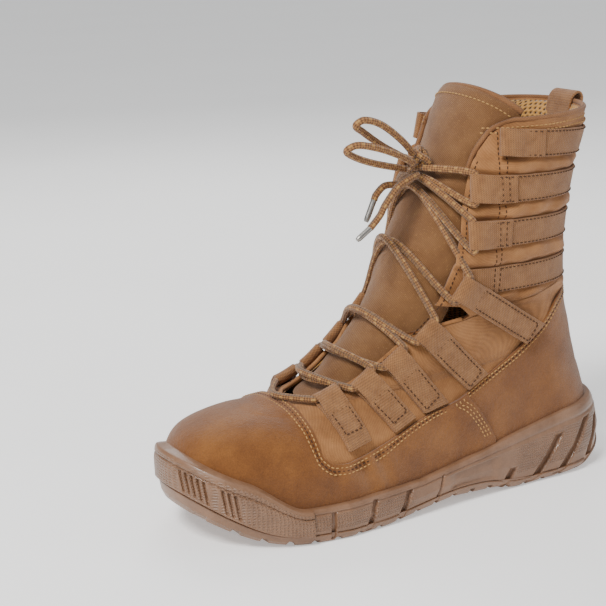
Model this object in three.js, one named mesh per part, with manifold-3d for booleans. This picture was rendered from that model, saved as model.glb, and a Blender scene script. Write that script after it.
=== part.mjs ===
// Left combat boot: webbing lace loops over a fabric shaft, suede lower, moulded sole and inner side zip.
// Millimetres. The toe points to -X, the outer side to -Y, the inner (zip) side to +Y, and +Z is up.
import * as THREE from "three";
import { mergeVertices } from "three/addons/utils/BufferGeometryUtils.js";
import Module from "manifold-3d";

const wasm = await Module();
wasm.setup();

// Driving sizes of the last
const footLength = 278;
const ballWidth = 98;
const collarWidth = 95;
const toeHeight = 67;
const collarHeight = 228;
const lastCurve = 6;

// Driving sizes of the sole
const toeSpring = 25;
const archRise = 5.5;
const heelBevel = 11;
const ballThickness = 14;
const heelThickness = 24;
const treadLayer = 5;
const rimWall = 5;
const heelFlare = 7;
const lugDepth = 2.8;
const lugGroove = 3.6;
const lugPitch = 14;
const sideGrooveDepth = 1.8;
const bumperHeight = 19;

// Walls, layers and clearances
const upperWall = 2.4;
const suedeThickness = 1.4;
const insoleThickness = 4;
const tongueThickness = 5;
const tongueOverlap = 14;
const tongueGap = 1.8;
const gap = 0.3;
const looseGap = 0.5;

// Webbing and lace
const webbingWidth = 15.5;
const webbingSeat = 1.65;
const webbingThickness = 1.4;
const laceDiameter = 4.2;
const laceRoom = 5.8;
const loopDepth = 15;
const facetLength = 11;
const pullLoopWidth = 22;
const bindingDiameter = 3;

// Zip
const zipTapeWidth = 15;
const zipTapeThickness = 0.8;
const zipTeethWidth = 5;
const zipTeethThickness = 1.6;
const facingWidth = 10;
const facingThickness = 1.3;
const pullLength = 26;
const pullWidth = 7;
const pullThickness = 1.4;
const sliderWidth = 8;
const sliderLength = 12;
const sliderThickness = 2.2;
const bridgeWidth = 2.2;
const ventRadius = 4.6;
const ventHole = 2.6;
const ventThickness = 1.2;

// Facets
const aroundCount = 26;

// Rows of the last, from the feather line up over the toe, the instep and the leg to the collar.
// front and back are shares of footLength, heights as in heightOf, halves as shares of the width,
// nose and seat are the lengths over which a row closes in front and behind, as shares of footLength.
const lastRows = [
  { v: 0, front: -0.5, frontZ: 0.5, back: 0.5, backZ: 0.4, ball: 0.5, waist: 0.37, heel: 0.345, nose: 0.27, seat: 0.155, sag: 0 },
  { v: 0.08, front: -0.507, frontZ: 0.69, back: 0.513, backZ: 0.6, ball: 0.512, waist: 0.39, heel: 0.372, nose: 0.28, seat: 0.15, sag: 0.14 },
  { v: 0.16, front: -0.487, frontZ: 0.87, back: 0.504, backZ: 0.78, ball: 0.475, waist: 0.4, heel: 0.378, nose: 0.29, seat: 0.15, sag: 0.12 },
  { v: 0.24, front: -0.432, frontZ: 0.965, back: 0.491, backZ: 0.955, ball: 0.42, waist: 0.4, heel: 0.374, nose: 0.28, seat: 0.155, sag: 0.1 },
  { v: 0.32, front: -0.349, frontZ: 1, back: 0.478, backZ: 1.062, ball: 0.36, waist: 0.39, heel: 0.372, nose: 0.26, seat: 0.16, sag: 0.06 },
  { v: 0.4, front: -0.259, frontZ: 1.03, back: 0.466, backZ: 1.15, ball: 0.33, waist: 0.385, heel: 0.376, nose: 0.24, seat: 0.165, sag: 0.03 },
  { v: 0.48, front: -0.18, frontZ: 1.09, back: 0.453, backZ: 1.236, ball: 0.32, waist: 0.39, heel: 0.384, nose: 0.23, seat: 0.17, sag: 0.01 },
  { v: 0.56, front: -0.108, frontZ: 1.187, back: 0.445, backZ: 1.342, ball: 0.33, waist: 0.4, heel: 0.398, nose: 0.225, seat: 0.175, sag: 0 },
  { v: 0.64, front: -0.047, frontZ: 1.311, back: 0.441, backZ: 1.447, ball: 0.35, waist: 0.415, heel: 0.415, nose: 0.22, seat: 0.18, sag: 0 },
  { v: 0.72, front: -0.003, frontZ: 1.46, back: 0.441, backZ: 1.565, ball: 0.38, waist: 0.44, heel: 0.438, nose: 0.21, seat: 0.18, sag: 0 },
  { v: 0.8, front: 0.043, frontZ: 1.62, back: 0.448, backZ: 1.69, ball: 0.4, waist: 0.462, heel: 0.462, nose: 0.2, seat: 0.18, sag: 0 },
  { v: 0.88, front: 0.09, frontZ: 1.764, back: 0.462, backZ: 1.814, ball: 0.42, waist: 0.478, heel: 0.478, nose: 0.185, seat: 0.18, sag: 0 },
  { v: 0.95, front: 0.126, frontZ: 1.88, back: 0.48, backZ: 1.913, ball: 0.43, waist: 0.488, heel: 0.488, nose: 0.18, seat: 0.178, sag: 0 },
  { v: 1, front: 0.151, frontZ: 1.985, back: 0.493, backZ: 2, ball: 0.44, waist: 0.495, heel: 0.495, nose: 0.176, seat: 0.176, sag: 0 },
  { v: 1.12, front: 0.19, frontZ: 2.13, back: 0.513, backZ: 2.15, ball: 0.45, waist: 0.5, heel: 0.5, nose: 0.176, seat: 0.176, sag: 0 },
];

// The row from which on the heights no longer follow the footbed
const rimRow = 0.08;

// Where the three halves of a row stand, as shares of footLength
const ballStation = -0.21;
const waistStation = 0.055;
const heelStation = 0.335;

// Sideways curve of the last, as shares of lastCurve, towards the inner side
const curveRows = [
  { x: -0.52, shift: 1 },
  { x: -0.35, shift: 0.7 },
  { x: -0.2, shift: 0.05 },
  { x: 0.05, shift: -0.8 },
  { x: 0.33, shift: -0.15 },
  { x: 0.52, shift: 0 },
];

// Underside of the sole: shares of toeSpring, archRise and heelBevel along footLength
const undersideRows = [
  { x: -0.58, toe: 1.2, arch: 0, heel: 0 },
  { x: -0.53, toe: 0.96, arch: 0, heel: 0 },
  { x: -0.47, toe: 0.56, arch: 0, heel: 0 },
  { x: -0.4, toe: 0.2, arch: 0, heel: 0 },
  { x: -0.34, toe: 0.04, arch: 0, heel: 0 },
  { x: -0.3, toe: 0, arch: 0, heel: 0 },
  { x: -0.12, toe: 0, arch: 0, heel: 0 },
  { x: -0.04, toe: 0, arch: 0.45, heel: 0 },
  { x: 0.06, toe: 0, arch: 1, heel: 0 },
  { x: 0.15, toe: 0, arch: 0.9, heel: 0 },
  { x: 0.22, toe: 0, arch: 0.2, heel: 0 },
  { x: 0.25, toe: 0, arch: 0, heel: 0 },
  { x: 0.43, toe: 0, arch: 0, heel: 0 },
  { x: 0.47, toe: 0, arch: 0, heel: 0.15 },
  { x: 0.52, toe: 0, arch: 0, heel: 0.55 },
  { x: 0.58, toe: 0, arch: 0, heel: 1.1 },
];

// Footbed and rim: lift goes from ballThickness to heelThickness, rim and out are shares of rimWall,
// layer is the tread's height and flare the heel's, as shares of treadLayer and heelFlare.
const soleRows = [
  { x: -0.56, lift: 0, rim: 0.9, out: 1.15, layer: 1.9, flare: 0 },
  { x: -0.48, lift: 0, rim: 0.9, out: 1.15, layer: 1.8, flare: 0 },
  { x: -0.36, lift: 0, rim: 1.3, out: 1.05, layer: 1.2, flare: 0 },
  { x: -0.2, lift: 0, rim: 1.4, out: 1, layer: 1, flare: 0 },
  { x: -0.02, lift: 0.1, rim: 1.4, out: 1.1, layer: 1, flare: 0 },
  { x: 0.14, lift: 0.5, rim: 2, out: 1.3, layer: 1, flare: 0 },
  { x: 0.26, lift: 0.9, rim: 2.6, out: 1.35, layer: 1, flare: 0.05 },
  { x: 0.38, lift: 1, rim: 3.6, out: 1.35, layer: 1.1, flare: 0.3 },
  { x: 0.46, lift: 1, rim: 4, out: 1.5, layer: 1.35, flare: 0.7 },
  { x: 0.56, lift: 1, rim: 4, out: 1.75, layer: 1.6, flare: 1 },
];

// Half width of the throat along the rows, in shares of collarWidth
const throatRows = [
  { v: 0.4, half: 0.05 },
  { v: 0.41, half: 0.13 },
  { v: 0.43, half: 0.185 },
  { v: 0.47, half: 0.225 },
  { v: 0.53, half: 0.27 },
  { v: 0.6, half: 0.325 },
  { v: 0.66, half: 0.365 },
  { v: 0.72, half: 0.385 },
  { v: 0.78, half: 0.38 },
  { v: 0.84, half: 0.35 },
  { v: 0.9, half: 0.325 },
  { v: 0.95, half: 0.325 },
  { v: 0.975, half: 0.355 },
  { v: 1, half: 0.42 },
  { v: 1.12, half: 0.43 },
];

// Side outlines of the two suede pieces: x as a share of footLength, z as in heightOf
const seamRows = [
  { x: -0.262, z: 0.74 },
  { x: -0.24, z: 0.655 },
  { x: -0.205, z: 0.642 },
  { x: -0.108, z: 0.731 },
  { x: -0.007, z: 0.866 },
  { x: 0.083, z: 0.955 },
];
const rearSeamRows = [
  { x: 0.122, z: 1.01 },
  { x: 0.201, z: 1.075 },
  { x: 0.266, z: 1.137 },
  { x: 0.335, z: 1.224 },
  { x: 0.371, z: 1.28 },
  { x: 0.42, z: 1.32 },
];
const vampRearRows = [
  { x: 0.108, z: 0.985 },
  { x: 0.137, z: 0.836 },
  { x: 0.162, z: 0.687 },
  { x: 0.183, z: 0.537 },
  { x: 0.2, z: 0.2 },
];

// Flat webbing straps round the shaft: middle height at the throat and behind, as in heightOf
const strapRows = [
  { name: "strap_1", front: 1.925, back: 1.885 },
  { name: "strap_2", front: 1.755, back: 1.74 },
  { name: "strap_3", front: 1.595, back: 1.58 },
  { name: "strap_4", front: 1.42, back: 1.41 },
];

// Slanted lace loops: row of the fold at the throat, and middle of the tail as in heightOf
const loopRows = [
  { name: "loop_1", v: 0.68, tailX: 0.3, tailZ: 1.17, innerX: 0.2, innerZ: 1.3 },
  { name: "loop_2", v: 0.595, tailX: 0.147, tailZ: 1.02, innerX: 0.147, innerZ: 1.02 },
  { name: "loop_3", v: 0.535, tailX: 0.02, tailZ: 0.89, innerX: 0.02, innerZ: 0.89 },
  { name: "loop_4", v: 0.477, tailX: -0.076, tailZ: 0.755, innerX: -0.073, innerZ: 0.76 },
  { name: "loop_5", v: 0.425, tailX: -0.187, tailZ: 0.66, innerX: -0.187, innerZ: 0.66 },
];

// Zip line on the inner side, x as a share of footLength, z as in heightOf
const zipTopX = 0.327;
const zipBottomX = 0.298;
const zipTopZ = 1.975;
const zipBottomZ = 1.12;

// Drain eyelets low on the inner side
const ventRows = [
  { name: "vent_eyelet_front", x: -0.075, z: 0.6 },
  { name: "vent_eyelet_rear", x: 0.03, z: 0.66 },
];

const suede = { color: 0x9a6438, roughness: 0.95, metalness: 0 };
const fabric = { color: 0x8a5a36, roughness: 0.85, metalness: 0 };
const webbing = { color: 0x936345, roughness: 0.9, metalness: 0 };
const rubber = { color: 0x8b6a54, roughness: 0.55, metalness: 0 };
const lining = { color: 0xb9823f, roughness: 0.95, metalness: 0 };
const cord = { color: 0x7a4f2c, roughness: 0.8, metalness: 0 };
const steel = { color: 0x8d8a84, roughness: 0.35, metalness: 1 };
const brass = { color: 0xa88447, roughness: 0.35, metalness: 1 };

const boot = new THREE.Group();

// Straight interpolation in a table by one column
function along(rows, key, at, column) {
  const last = rows.length - 1;
  let i = 0;
  while (i < last - 1 && at > rows[i + 1][key]) i += 1;
  const share = THREE.MathUtils.clamp((at - rows[i][key]) / (rows[i + 1][key] - rows[i][key]), 0, 1);
  return THREE.MathUtils.lerp(rows[i][column], rows[i + 1][column], share);
}

// Smooth interpolation in a table, with slopes from the neighbouring rows
function smooth(rows, key, at, column) {
  const last = rows.length - 1;
  let i = 0;
  while (i < last - 1 && at > rows[i + 1][key]) i += 1;
  const slope = (k) => {
    const low = rows[Math.max(k - 1, 0)];
    const high = rows[Math.min(k + 1, last)];
    return (high[column] - low[column]) / (high[key] - low[key]);
  };
  const span = rows[i + 1][key] - rows[i][key];
  const t = THREE.MathUtils.clamp((at - rows[i][key]) / span, 0, 1);
  const square = t * t;
  const cube = square * t;
  return (2 * cube - 3 * square + 1) * rows[i][column] + (cube - 2 * square + t) * span * slope(i)
    + (3 * square - 2 * cube) * rows[i + 1][column] + (cube - square) * span * slope(i + 1);
}

// Heights: 0 is the floor, 1 the top of the toe box and 2 the collar
function heightOf(share) {
  return share <= 1 ? share * toeHeight : toeHeight + (share - 1) * (collarHeight - toeHeight);
}

function underside(x) {
  const at = x / footLength;
  return Math.max(0, toeSpring * smooth(undersideRows, "x", at, "toe"))
    + Math.max(0, archRise * smooth(undersideRows, "x", at, "arch"))
    + Math.max(0, heelBevel * smooth(undersideRows, "x", at, "heel"));
}

function footbed(x) {
  const at = x / footLength;
  const toe = Math.max(0, toeSpring * smooth(undersideRows, "x", at, "toe"));
  return toe * 0.9 + THREE.MathUtils.lerp(ballThickness, heelThickness, along(soleRows, "x", at, "lift"));
}

// Rounded closing of a row over a length: 0 at the end, 1 where the full width is reached
function closing(distance, length) {
  const rest = 1 - Math.min(distance / length, 1);
  return Math.pow(1 - Math.pow(rest, 2.15), 1 / 2.15);
}

// Point of the last at row v and angle a: 0 is in front, pi behind, the outer side between them
function lastPoint(v, turn) {
  const a = (turn + 2 * Math.PI) % (2 * Math.PI);
  const row = (column) => smooth(lastRows, "v", v, column);
  const s = (1 - Math.cos(a)) / 2;
  const front = row("front") * footLength;
  const back = row("back") * footLength;
  const x = THREE.MathUtils.lerp(front, back, s);
  const at = x / footLength;
  const stations = [
    { x: ballStation, half: row("ball") },
    { x: waistStation, half: row("waist") },
    { x: heelStation, half: row("heel") },
  ];
  const width = THREE.MathUtils.lerp(ballWidth, collarWidth, THREE.MathUtils.clamp(v, 0, 1));
  const half = smooth(stations, "x", THREE.MathUtils.clamp(at, ballStation, heelStation), "half") * width;
  const closed = closing(x - front, row("nose") * footLength) * closing(back - x, row("seat") * footLength);
  const straight = 1 - THREE.MathUtils.smoothstep(v, 0.1, 0.5);
  const middle = smooth(curveRows, "x", at, "shift") * lastCurve * straight;
  const low = footbed(x) + gap;
  const above = (column) => smooth(lastRows, "v", Math.max(v, rimRow), column);
  const slung = above("sag") * toeHeight * 4 * s * (1 - s);
  const high = THREE.MathUtils.lerp(heightOf(above("frontZ")), heightOf(above("backZ")), s) - slung;
  const rise = Math.min(v / rimRow, 1);
  const side = a < Math.PI ? -1 : 1;
  return new THREE.Vector3(x, middle + side * half * closed, THREE.MathUtils.lerp(low, high, rise));
}

// Outward normal of the last, from small steps both ways
function lastNormal(v, a) {
  const step = 0.004;
  const ahead = lastPoint(v, a + step).sub(lastPoint(v, a - step));
  const low = Math.max(v - step, 0);
  const up = lastPoint(v + step, a).sub(lastPoint(low, a));
  return ahead.cross(up).normalize();
}

function onLast(v, a, off) {
  return lastPoint(v, a).addScaledVector(lastNormal(v, a), off);
}

// Angle on the outer side where a row is this far from the middle line
function angleAt(v, half) {
  let low = 0.01;
  let high = Math.PI / 2;
  for (let i = 0; i < 30; i += 1) {
    const middle = (low + high) / 2;
    if (Math.abs(lastPoint(v, middle).y) < half) low = middle;
    else high = middle;
  }
  return (low + high) / 2;
}

// Row and angle on one side whose point stands at x and z; side is -1 outer, 1 inner
function rowAndAngle(x, z, side) {
  let v = 0.5;
  let a = Math.PI / 2;
  const step = 0.002;
  const point = (rowAt, angle) => lastPoint(rowAt, side < 0 ? angle : 2 * Math.PI - angle);
  for (let i = 0; i < 40; i += 1) {
    const here = point(v, a);
    const byRow = point(v + step, a).sub(here).divideScalar(step);
    const byAngle = point(v, a + step).sub(here).divideScalar(step);
    const determinant = byRow.x * byAngle.z - byAngle.x * byRow.z;
    const dx = x - here.x;
    const dz = z - here.z;
    v += THREE.MathUtils.clamp((dx * byAngle.z - byAngle.x * dz) / determinant, -0.08, 0.08);
    a += THREE.MathUtils.clamp((byRow.x * dz - dx * byRow.z) / determinant, -0.25, 0.25);
    v = THREE.MathUtils.clamp(v, 0.02, 1.1);
    a = THREE.MathUtils.clamp(a, 0.12, 3.02);
  }
  return { v, a: side < 0 ? a : 2 * Math.PI - a };
}

// Closed surface through rings that run counterclockwise from above, from the lowest up on the outside
function ringSkin(rings, joined) {
  const count = rings[0].length;
  const positions = rings.flat().flatMap((point) => [point.x, point.y, point.z]);
  const faces = [];
  const quad = (p, q, r, s) => {
    if (p !== q && q !== r && p !== r) faces.push(p, q, r);
    if (p !== r && r !== s && p !== s) faces.push(p, r, s);
  };
  const last = joined ? rings.length : rings.length - 1;
  for (let r = 0; r < last; r += 1) {
    const low = r * count;
    const high = ((r + 1) % rings.length) * count;
    for (let i = 0; i < count; i += 1) {
      const j = (i + 1) % count;
      quad(low + i, low + j, high + j, high + i);
    }
  }
  if (!joined) {
    const top = (rings.length - 1) * count;
    for (let i = 0; i < count / 2; i += 1) {
      const opposite = (count - i) % count;
      quad(top + i, top + i + 1, top + count - i - 1, top + opposite);
      quad(opposite, count - i - 1, i + 1, i);
    }
  }
  return indexed(positions, faces);
}

function indexed(positions, faces) {
  const geometry = new THREE.BufferGeometry();
  geometry.setAttribute("position", new THREE.Float32BufferAttribute(positions, 3));
  geometry.setIndex(faces);
  return geometry;
}

// A geometry with shared vertices merged and its faces turned outwards
function closed(geometry) {
  const bare = geometry.clone();
  bare.deleteAttribute("normal");
  bare.deleteAttribute("uv");
  const merged = mergeVertices(bare, 0.0005);
  const position = merged.attributes.position;
  const index = merged.index.array;
  const corner = [new THREE.Vector3(), new THREE.Vector3(), new THREE.Vector3()];
  let volume = 0;
  for (let i = 0; i < index.length; i += 3) {
    corner.forEach((vertex, k) => vertex.fromBufferAttribute(position, index[i + k]));
    volume += corner[0].dot(corner[1].clone().cross(corner[2]));
  }
  if (volume < 0) {
    for (let i = 0; i < index.length; i += 3) [index[i], index[i + 1]] = [index[i + 1], index[i]];
  }
  return merged;
}

function solid(geometry) {
  const ready = closed(geometry);
  const vertProperties = new Float32Array(ready.attributes.position.array);
  const triVerts = new Uint32Array(ready.index.array);
  return new wasm.Manifold(new wasm.Mesh({ numProp: 3, vertProperties, triVerts }));
}

function surface(body) {
  const mesh = body.getMesh();
  return indexed(Array.from(mesh.vertProperties), Array.from(mesh.triVerts));
}

function add(name, geometry, look) {
  const mesh = new THREE.Mesh(geometry, new THREE.MeshStandardMaterial(look));
  mesh.name = name;
  boot.add(mesh);
  return mesh;
}

const angles = Array.from({ length: aroundCount }, (_, i) => (2 * Math.PI * i) / aroundCount);

// The heights at which the last is sampled: closer together where it turns in over the foot
const rowsUp = [0, 0.025, 0.055, 0.09, 0.13, 0.17, 0.21, 0.26, 0.32, 0.38, 0.45, 0.53, 0.61, 0.7, 0.8, 0.9, 1];

function lastRing(v, off) {
  return angles.map((a) => onLast(v, a, off));
}

// The filled form of the last, grown by off, up to the row top and drop deeper than the feather line
function lastForm(off, top, drop) {
  const rings = rowsUp.map((v) => lastRing(v, off));
  if (top > 1) rings.push(lastRing(top, off));
  if (drop > 0) rings.unshift(rings[0].map((point) => new THREE.Vector3(point.x, point.y, point.z - drop)));
  return solid(ringSkin(rings, false));
}

// An outline in the side view, drawn through the whole width
function sidePrism(points, from, to) {
  const shape = new THREE.Shape(points.map((p) => new THREE.Vector2(p.x, p.z)));
  const geometry = new THREE.ExtrudeGeometry(shape, { depth: to - from, bevelEnabled: false });
  geometry.rotateX(Math.PI / 2);
  geometry.translate(0, to, 0);
  return solid(geometry);
}

const sidePoint = (row) => ({ x: row.x * footLength, z: heightOf(row.z) });
const farBack = footLength;
const wide = ballWidth;

// Throat: a channel along the front of the last, as wide as its row
function throatHalf(v) {
  return along(throatRows, "v", v, "half") * collarWidth;
}

function throatCutter() {
  const reach = collarWidth * 0.35;
  const rings = throatRows.map((row) => {
    const ridge = lastPoint(row.v, 0);
    const out = lastNormal(row.v, 0);
    const half = throatHalf(row.v);
    const high = ridge.clone().addScaledVector(out, reach);
    const low = ridge.clone().addScaledVector(out, -reach);
    return [
      new THREE.Vector3(high.x, -half, high.z),
      new THREE.Vector3(low.x, -half, low.z),
      new THREE.Vector3(low.x, half, low.z),
      new THREE.Vector3(high.x, half, high.z),
    ];
  });
  return solid(ringSkin(rings, false));
}

// Notch behind the throat edge at the ankle, on both sides
const notch = [
  { x: -0.03, z: 1.36 },
  { x: 0.1, z: 1.33 },
  { x: 0.125, z: 1.29 },
  { x: 0.09, z: 1.265 },
  { x: -0.03, z: 1.235 },
].map(sidePoint);

const throat = throatCutter();
const notchCut = sidePrism(notch, -wide, wide);

function buildUpper() {
  const outer = rowsUp.map((v) => lastRing(v, 0));
  const inner = rowsUp.map((v) => lastRing(v, -upperWall)).reverse();
  const wall = solid(ringSkin([...outer, ...inner], true));
  add("upper", surface(largest(wall.subtract(throat).subtract(notchCut))), fabric);
}

// The two suede pieces of the lower boot lie on the upper
const suedeOuter = gap + suedeThickness;
const suedeLayer = lastForm(suedeOuter, 1, 0).subtract(lastForm(gap, 1.06, ballThickness));

const seam = seamRows.map(sidePoint);
const rearSeam = [...rearSeamRows.map(sidePoint), { x: farBack, z: heightOf(1.33) }];

// Everything below the seam, raised by the clearance: what ends at the suede is cut with it
const belowSeam = sidePrism([
  { x: -farBack, z: -farBack },
  { x: -farBack, z: collarHeight },
  { x: seam[0].x + 2 * looseGap, z: collarHeight },
  ...seam.map((p) => ({ x: p.x + 2 * looseGap, z: p.z + looseGap })),
  ...rearSeam.map((p) => ({ x: p.x - looseGap, z: p.z + 2 * looseGap })),
  { x: farBack, z: -farBack },
], -wide, wide);

function buildSuede() {
  const rear = vampRearRows.map(sidePoint);
  const throatBase = lastPoint(throatRows[0].v, 0);
  const vampOutline = [
    { x: -farBack, z: -farBack },
    { x: -farBack, z: collarHeight },
    { x: throatBase.x - gap, z: collarHeight },
    { x: seam[0].x, z: seam[0].z + gap },
    ...seam,
    ...rear,
    { x: rear[rear.length - 1].x, z: -farBack },
  ];
  add("vamp", surface(largest(suedeLayer.intersect(sidePrism(vampOutline, -wide, wide)))), suede);
  const front = rear.map((p) => ({ x: p.x + 2 * gap, z: p.z })).reverse();
  const counterOutline = [
    ...rearSeam,
    { x: farBack, z: -farBack },
    { x: front[0].x, z: -farBack },
    ...front,
  ];
  add("counter", surface(largest(suedeLayer.intersect(sidePrism(counterOutline, -wide, wide)))), suede);
}

// Ring of the sole: the feather line grown sideways, at a height given along x
function soleRing(outAt, zAt) {
  return angles.map((a) => {
    const point = lastPoint(0, a);
    const normal = lastNormal(0, a);
    const flat = new THREE.Vector2(normal.x, normal.y).normalize();
    const grown = point.x / footLength;
    const out = outAt(grown);
    const x = point.x + flat.x * out;
    return new THREE.Vector3(x, point.y + flat.y * out, zAt(x));
  });
}

const soleValue = (x, column) => along(soleRows, "x", x / footLength, column);
const treadTop = (x) => underside(x) + treadLayer * soleValue(x, "layer");
const rimTop = (x) => footbed(x) + rimWall * soleValue(x, "rim");
const edgeOut = (bulge, flare) => (at) => rimWall * along(soleRows, "x", at, "out")
  + bulge + heelFlare * flare * along(soleRows, "x", at, "flare");

// Cuts across the tread, and slots in the side wall
function crossCut(x, width, low, high) {
  const box = new THREE.BoxGeometry(width, 3 * ballWidth, high - low);
  box.translate(x, 0, (low + high) / 2);
  return solid(box);
}

function buildOutsole() {
  const rings = [
    soleRing(edgeOut(-2.2, 0.3), (x) => underside(x)),
    soleRing(edgeOut(0, 0.8), (x) => underside(x) + 2),
    soleRing(edgeOut(0.8, 1), (x) => treadTop(x)),
  ];
  let body = solid(ringSkin(rings, false));
  for (let x = -0.44 * footLength; x < 0.5 * footLength; x += lugPitch) {
    const low = underside(x) - 2 * lugDepth;
    body = body.subtract(crossCut(x, lugGroove, low, underside(x) + lugDepth));
  }
  add("outsole", surface(body), rubber);
}

// Side slots of the midsole: place and lean as shares of footLength, width in shares of lugGroove
const slotRows = [
  { x: -0.29, lean: 0, width: 0.8, low: 0.1, high: 0.75 },
  { x: -0.205, lean: 0.012, width: 0.9, low: 0.1, high: 0.8 },
  { x: -0.115, lean: 0.018, width: 1, low: 0.1, high: 0.8 },
  { x: -0.03, lean: 0.02, width: 0.5, low: 0.1, high: 0.9 },
  { x: 0.17, lean: 0.02, width: 1, low: 0, high: 0.45 },
  { x: 0.29, lean: 0.06, width: 1.5, low: 0.15, high: 0.7 },
  { x: 0.4, lean: 0.06, width: 1.5, low: 0.2, high: 0.75 },
];

function sideSlot(row, side) {
  const foot = row.x * footLength;
  const { a } = nearestAngle(foot, side);
  const point = lastPoint(0, a);
  const normal = lastNormal(0, a);
  const flat = new THREE.Vector2(normal.x, normal.y).normalize();
  const out = edgeOut(2, 0.8)(row.x);
  const wall = rimTop(foot) - treadTop(foot);
  const low = treadTop(foot) + wall * row.low;
  const high = treadTop(foot) + wall * row.high;
  const lean = Math.atan2(row.lean * footLength, high - low);
  const depth = 2 * sideGrooveDepth;
  const box = new THREE.BoxGeometry(row.width * lugGroove, depth, (high - low) / Math.cos(lean));
  box.rotateY(-lean);
  box.rotateZ(Math.atan2(flat.y, flat.x) + Math.PI / 2);
  box.translate(point.x + flat.x * out, point.y + flat.y * out, (low + high) / 2);
  return solid(box);
}

// Angle of the feather line at x on one side
function nearestAngle(x, side) {
  const s = (x / footLength + 0.5);
  const a = Math.acos(THREE.MathUtils.clamp(1 - 2 * s, -1, 1));
  return { a: side < 0 ? a : 2 * Math.PI - a };
}

// The toe bumper stands against the midsole and the vamp, round the toe only
const bumperEnd = -0.305 * footLength;
const bumperSlope = 0.03 * footLength;

function bumperOutline(extra) {
  const top = (x) => footbed(x) + bumperHeight;
  const low = treadTop(bumperEnd) - extra;
  return [
    { x: -farBack, z: -farBack },
    { x: -farBack, z: top(-0.5 * footLength) + extra },
    { x: -0.5 * footLength, z: top(-0.5 * footLength) + extra },
    { x: -0.44 * footLength, z: top(-0.44 * footLength) + extra },
    { x: -0.38 * footLength, z: top(-0.38 * footLength) - 0.12 * bumperHeight + extra },
    { x: -0.35 * footLength, z: top(-0.35 * footLength) - 0.25 * bumperHeight + extra },
    { x: bumperEnd - bumperSlope / 3, z: rimTop(bumperEnd) + extra },
    { x: bumperEnd + bumperSlope + extra, z: low },
    { x: bumperEnd + bumperSlope + extra, z: -farBack },
  ];
}

function buildMidsoleAndBumper() {
  const rings = [
    soleRing(edgeOut(0.4, 0.9), (x) => treadTop(x) + gap),
    soleRing(edgeOut(1.8, 0.8), (x) => THREE.MathUtils.lerp(treadTop(x), rimTop(x), 0.4)),
    soleRing(edgeOut(1.2, 0.5), (x) => THREE.MathUtils.lerp(treadTop(x), rimTop(x), 0.8)),
    soleRing(edgeOut(0, 0.2), rimTop),
  ];
  const cup = lastForm(suedeOuter + gap, 1, 0);
  let body = solid(ringSkin(rings, false)).subtract(cup);
  for (const row of slotRows) {
    body = body.subtract(sideSlot(row, -1)).subtract(sideSlot(row, 1));
  }
  add("midsole", surface(body), rubber);
  const around = [
    soleRing(edgeOut(3.4, 0), (x) => treadTop(x) + gap),
    soleRing(edgeOut(3.6, 0), (x) => THREE.MathUtils.lerp(treadTop(x), footbed(x) + bumperHeight, 0.5)),
    soleRing(edgeOut(2.4, 0), (x) => footbed(x) + bumperHeight + 4 * gap),
  ];
  const core = [
    soleRing(edgeOut(0.4 + gap, 0.9), (x) => treadTop(x) - gap),
    soleRing(edgeOut(1.8 + gap, 0.8), (x) => THREE.MathUtils.lerp(treadTop(x), rimTop(x), 0.4)),
    soleRing(edgeOut(1.2 + gap, 0.5), (x) => THREE.MathUtils.lerp(treadTop(x), rimTop(x), 0.8)),
    soleRing(edgeOut(gap, 0.2), (x) => rimTop(x) + gap),
  ];
  const band = solid(ringSkin(around, false))
    .subtract(solid(ringSkin(core, false)))
    .subtract(lastForm(suedeOuter + 2 * gap, 1, 0))
    .intersect(sidePrism(bumperOutline(0), -wide, wide));
  add("toe_bumper", surface(largest(band)), rubber);
}

// The biggest of the separate bodies of a solid
function largest(body) {
  return body.decompose().reduce((best, next) => (next.volume() > best.volume() ? next : best));
}

function buildInsole() {
  const inset = upperWall + 2 * looseGap;
  const rings = [
    soleRing(() => -inset - 1, (x) => footbed(x) + gap),
    soleRing(() => -inset, (x) => footbed(x) + gap + insoleThickness / 2),
    soleRing(() => -inset - 1, (x) => footbed(x) + gap + insoleThickness),
  ];
  add("insole", ringSkin(rings, false), lining);
}

// Tongue: a padded sheet under the throat, wider than it, with its top cut back to the sides
const tongueFoot = 0.43;
const tongueTop = 1.105;
const tongueRows = 13;
const tongueColumns = 6;
const tongueReach = 0.9;

function buildTongue() {
  const rings = [];
  const across = [];
  for (let i = 0; i <= tongueColumns; i += 1) across.push((2 * i) / tongueColumns - 1);
  const point = (v, share, off) => {
    const half = throatHalf(THREE.MathUtils.clamp(v, 0.46, 0.94)) + tongueOverlap;
    const reach = Math.min(angleAt(Math.min(v, 0.96), half), tongueReach);
    return onLast(v, -share * reach, off);
  };
  for (let r = 0; r <= tongueRows; r += 1) {
    const outerRow = across.map((share) => {
      const top = tongueTop - 0.085 * share * share;
      const v = THREE.MathUtils.lerp(tongueFoot, top, r / tongueRows);
      const centre = Math.pow(Math.cos((share * Math.PI) / 2), 2) * THREE.MathUtils.smoothstep(v, 0.45, 0.55);
      return point(v, share, -upperWall - tongueGap + upperWall * centre);
    });
    const innerRow = across.map((share) => {
      const top = tongueTop - 0.085 * share * share;
      const v = THREE.MathUtils.lerp(tongueFoot, top, r / tongueRows);
      const thin = tongueThickness * (1 - 0.35 * share * share);
      return point(v, share, -upperWall - tongueGap - thin);
    });
    rings.push([...innerRow, ...outerRow.reverse()]);
  }
  add("tongue", stripSkin(rings), fabric);
}

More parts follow.
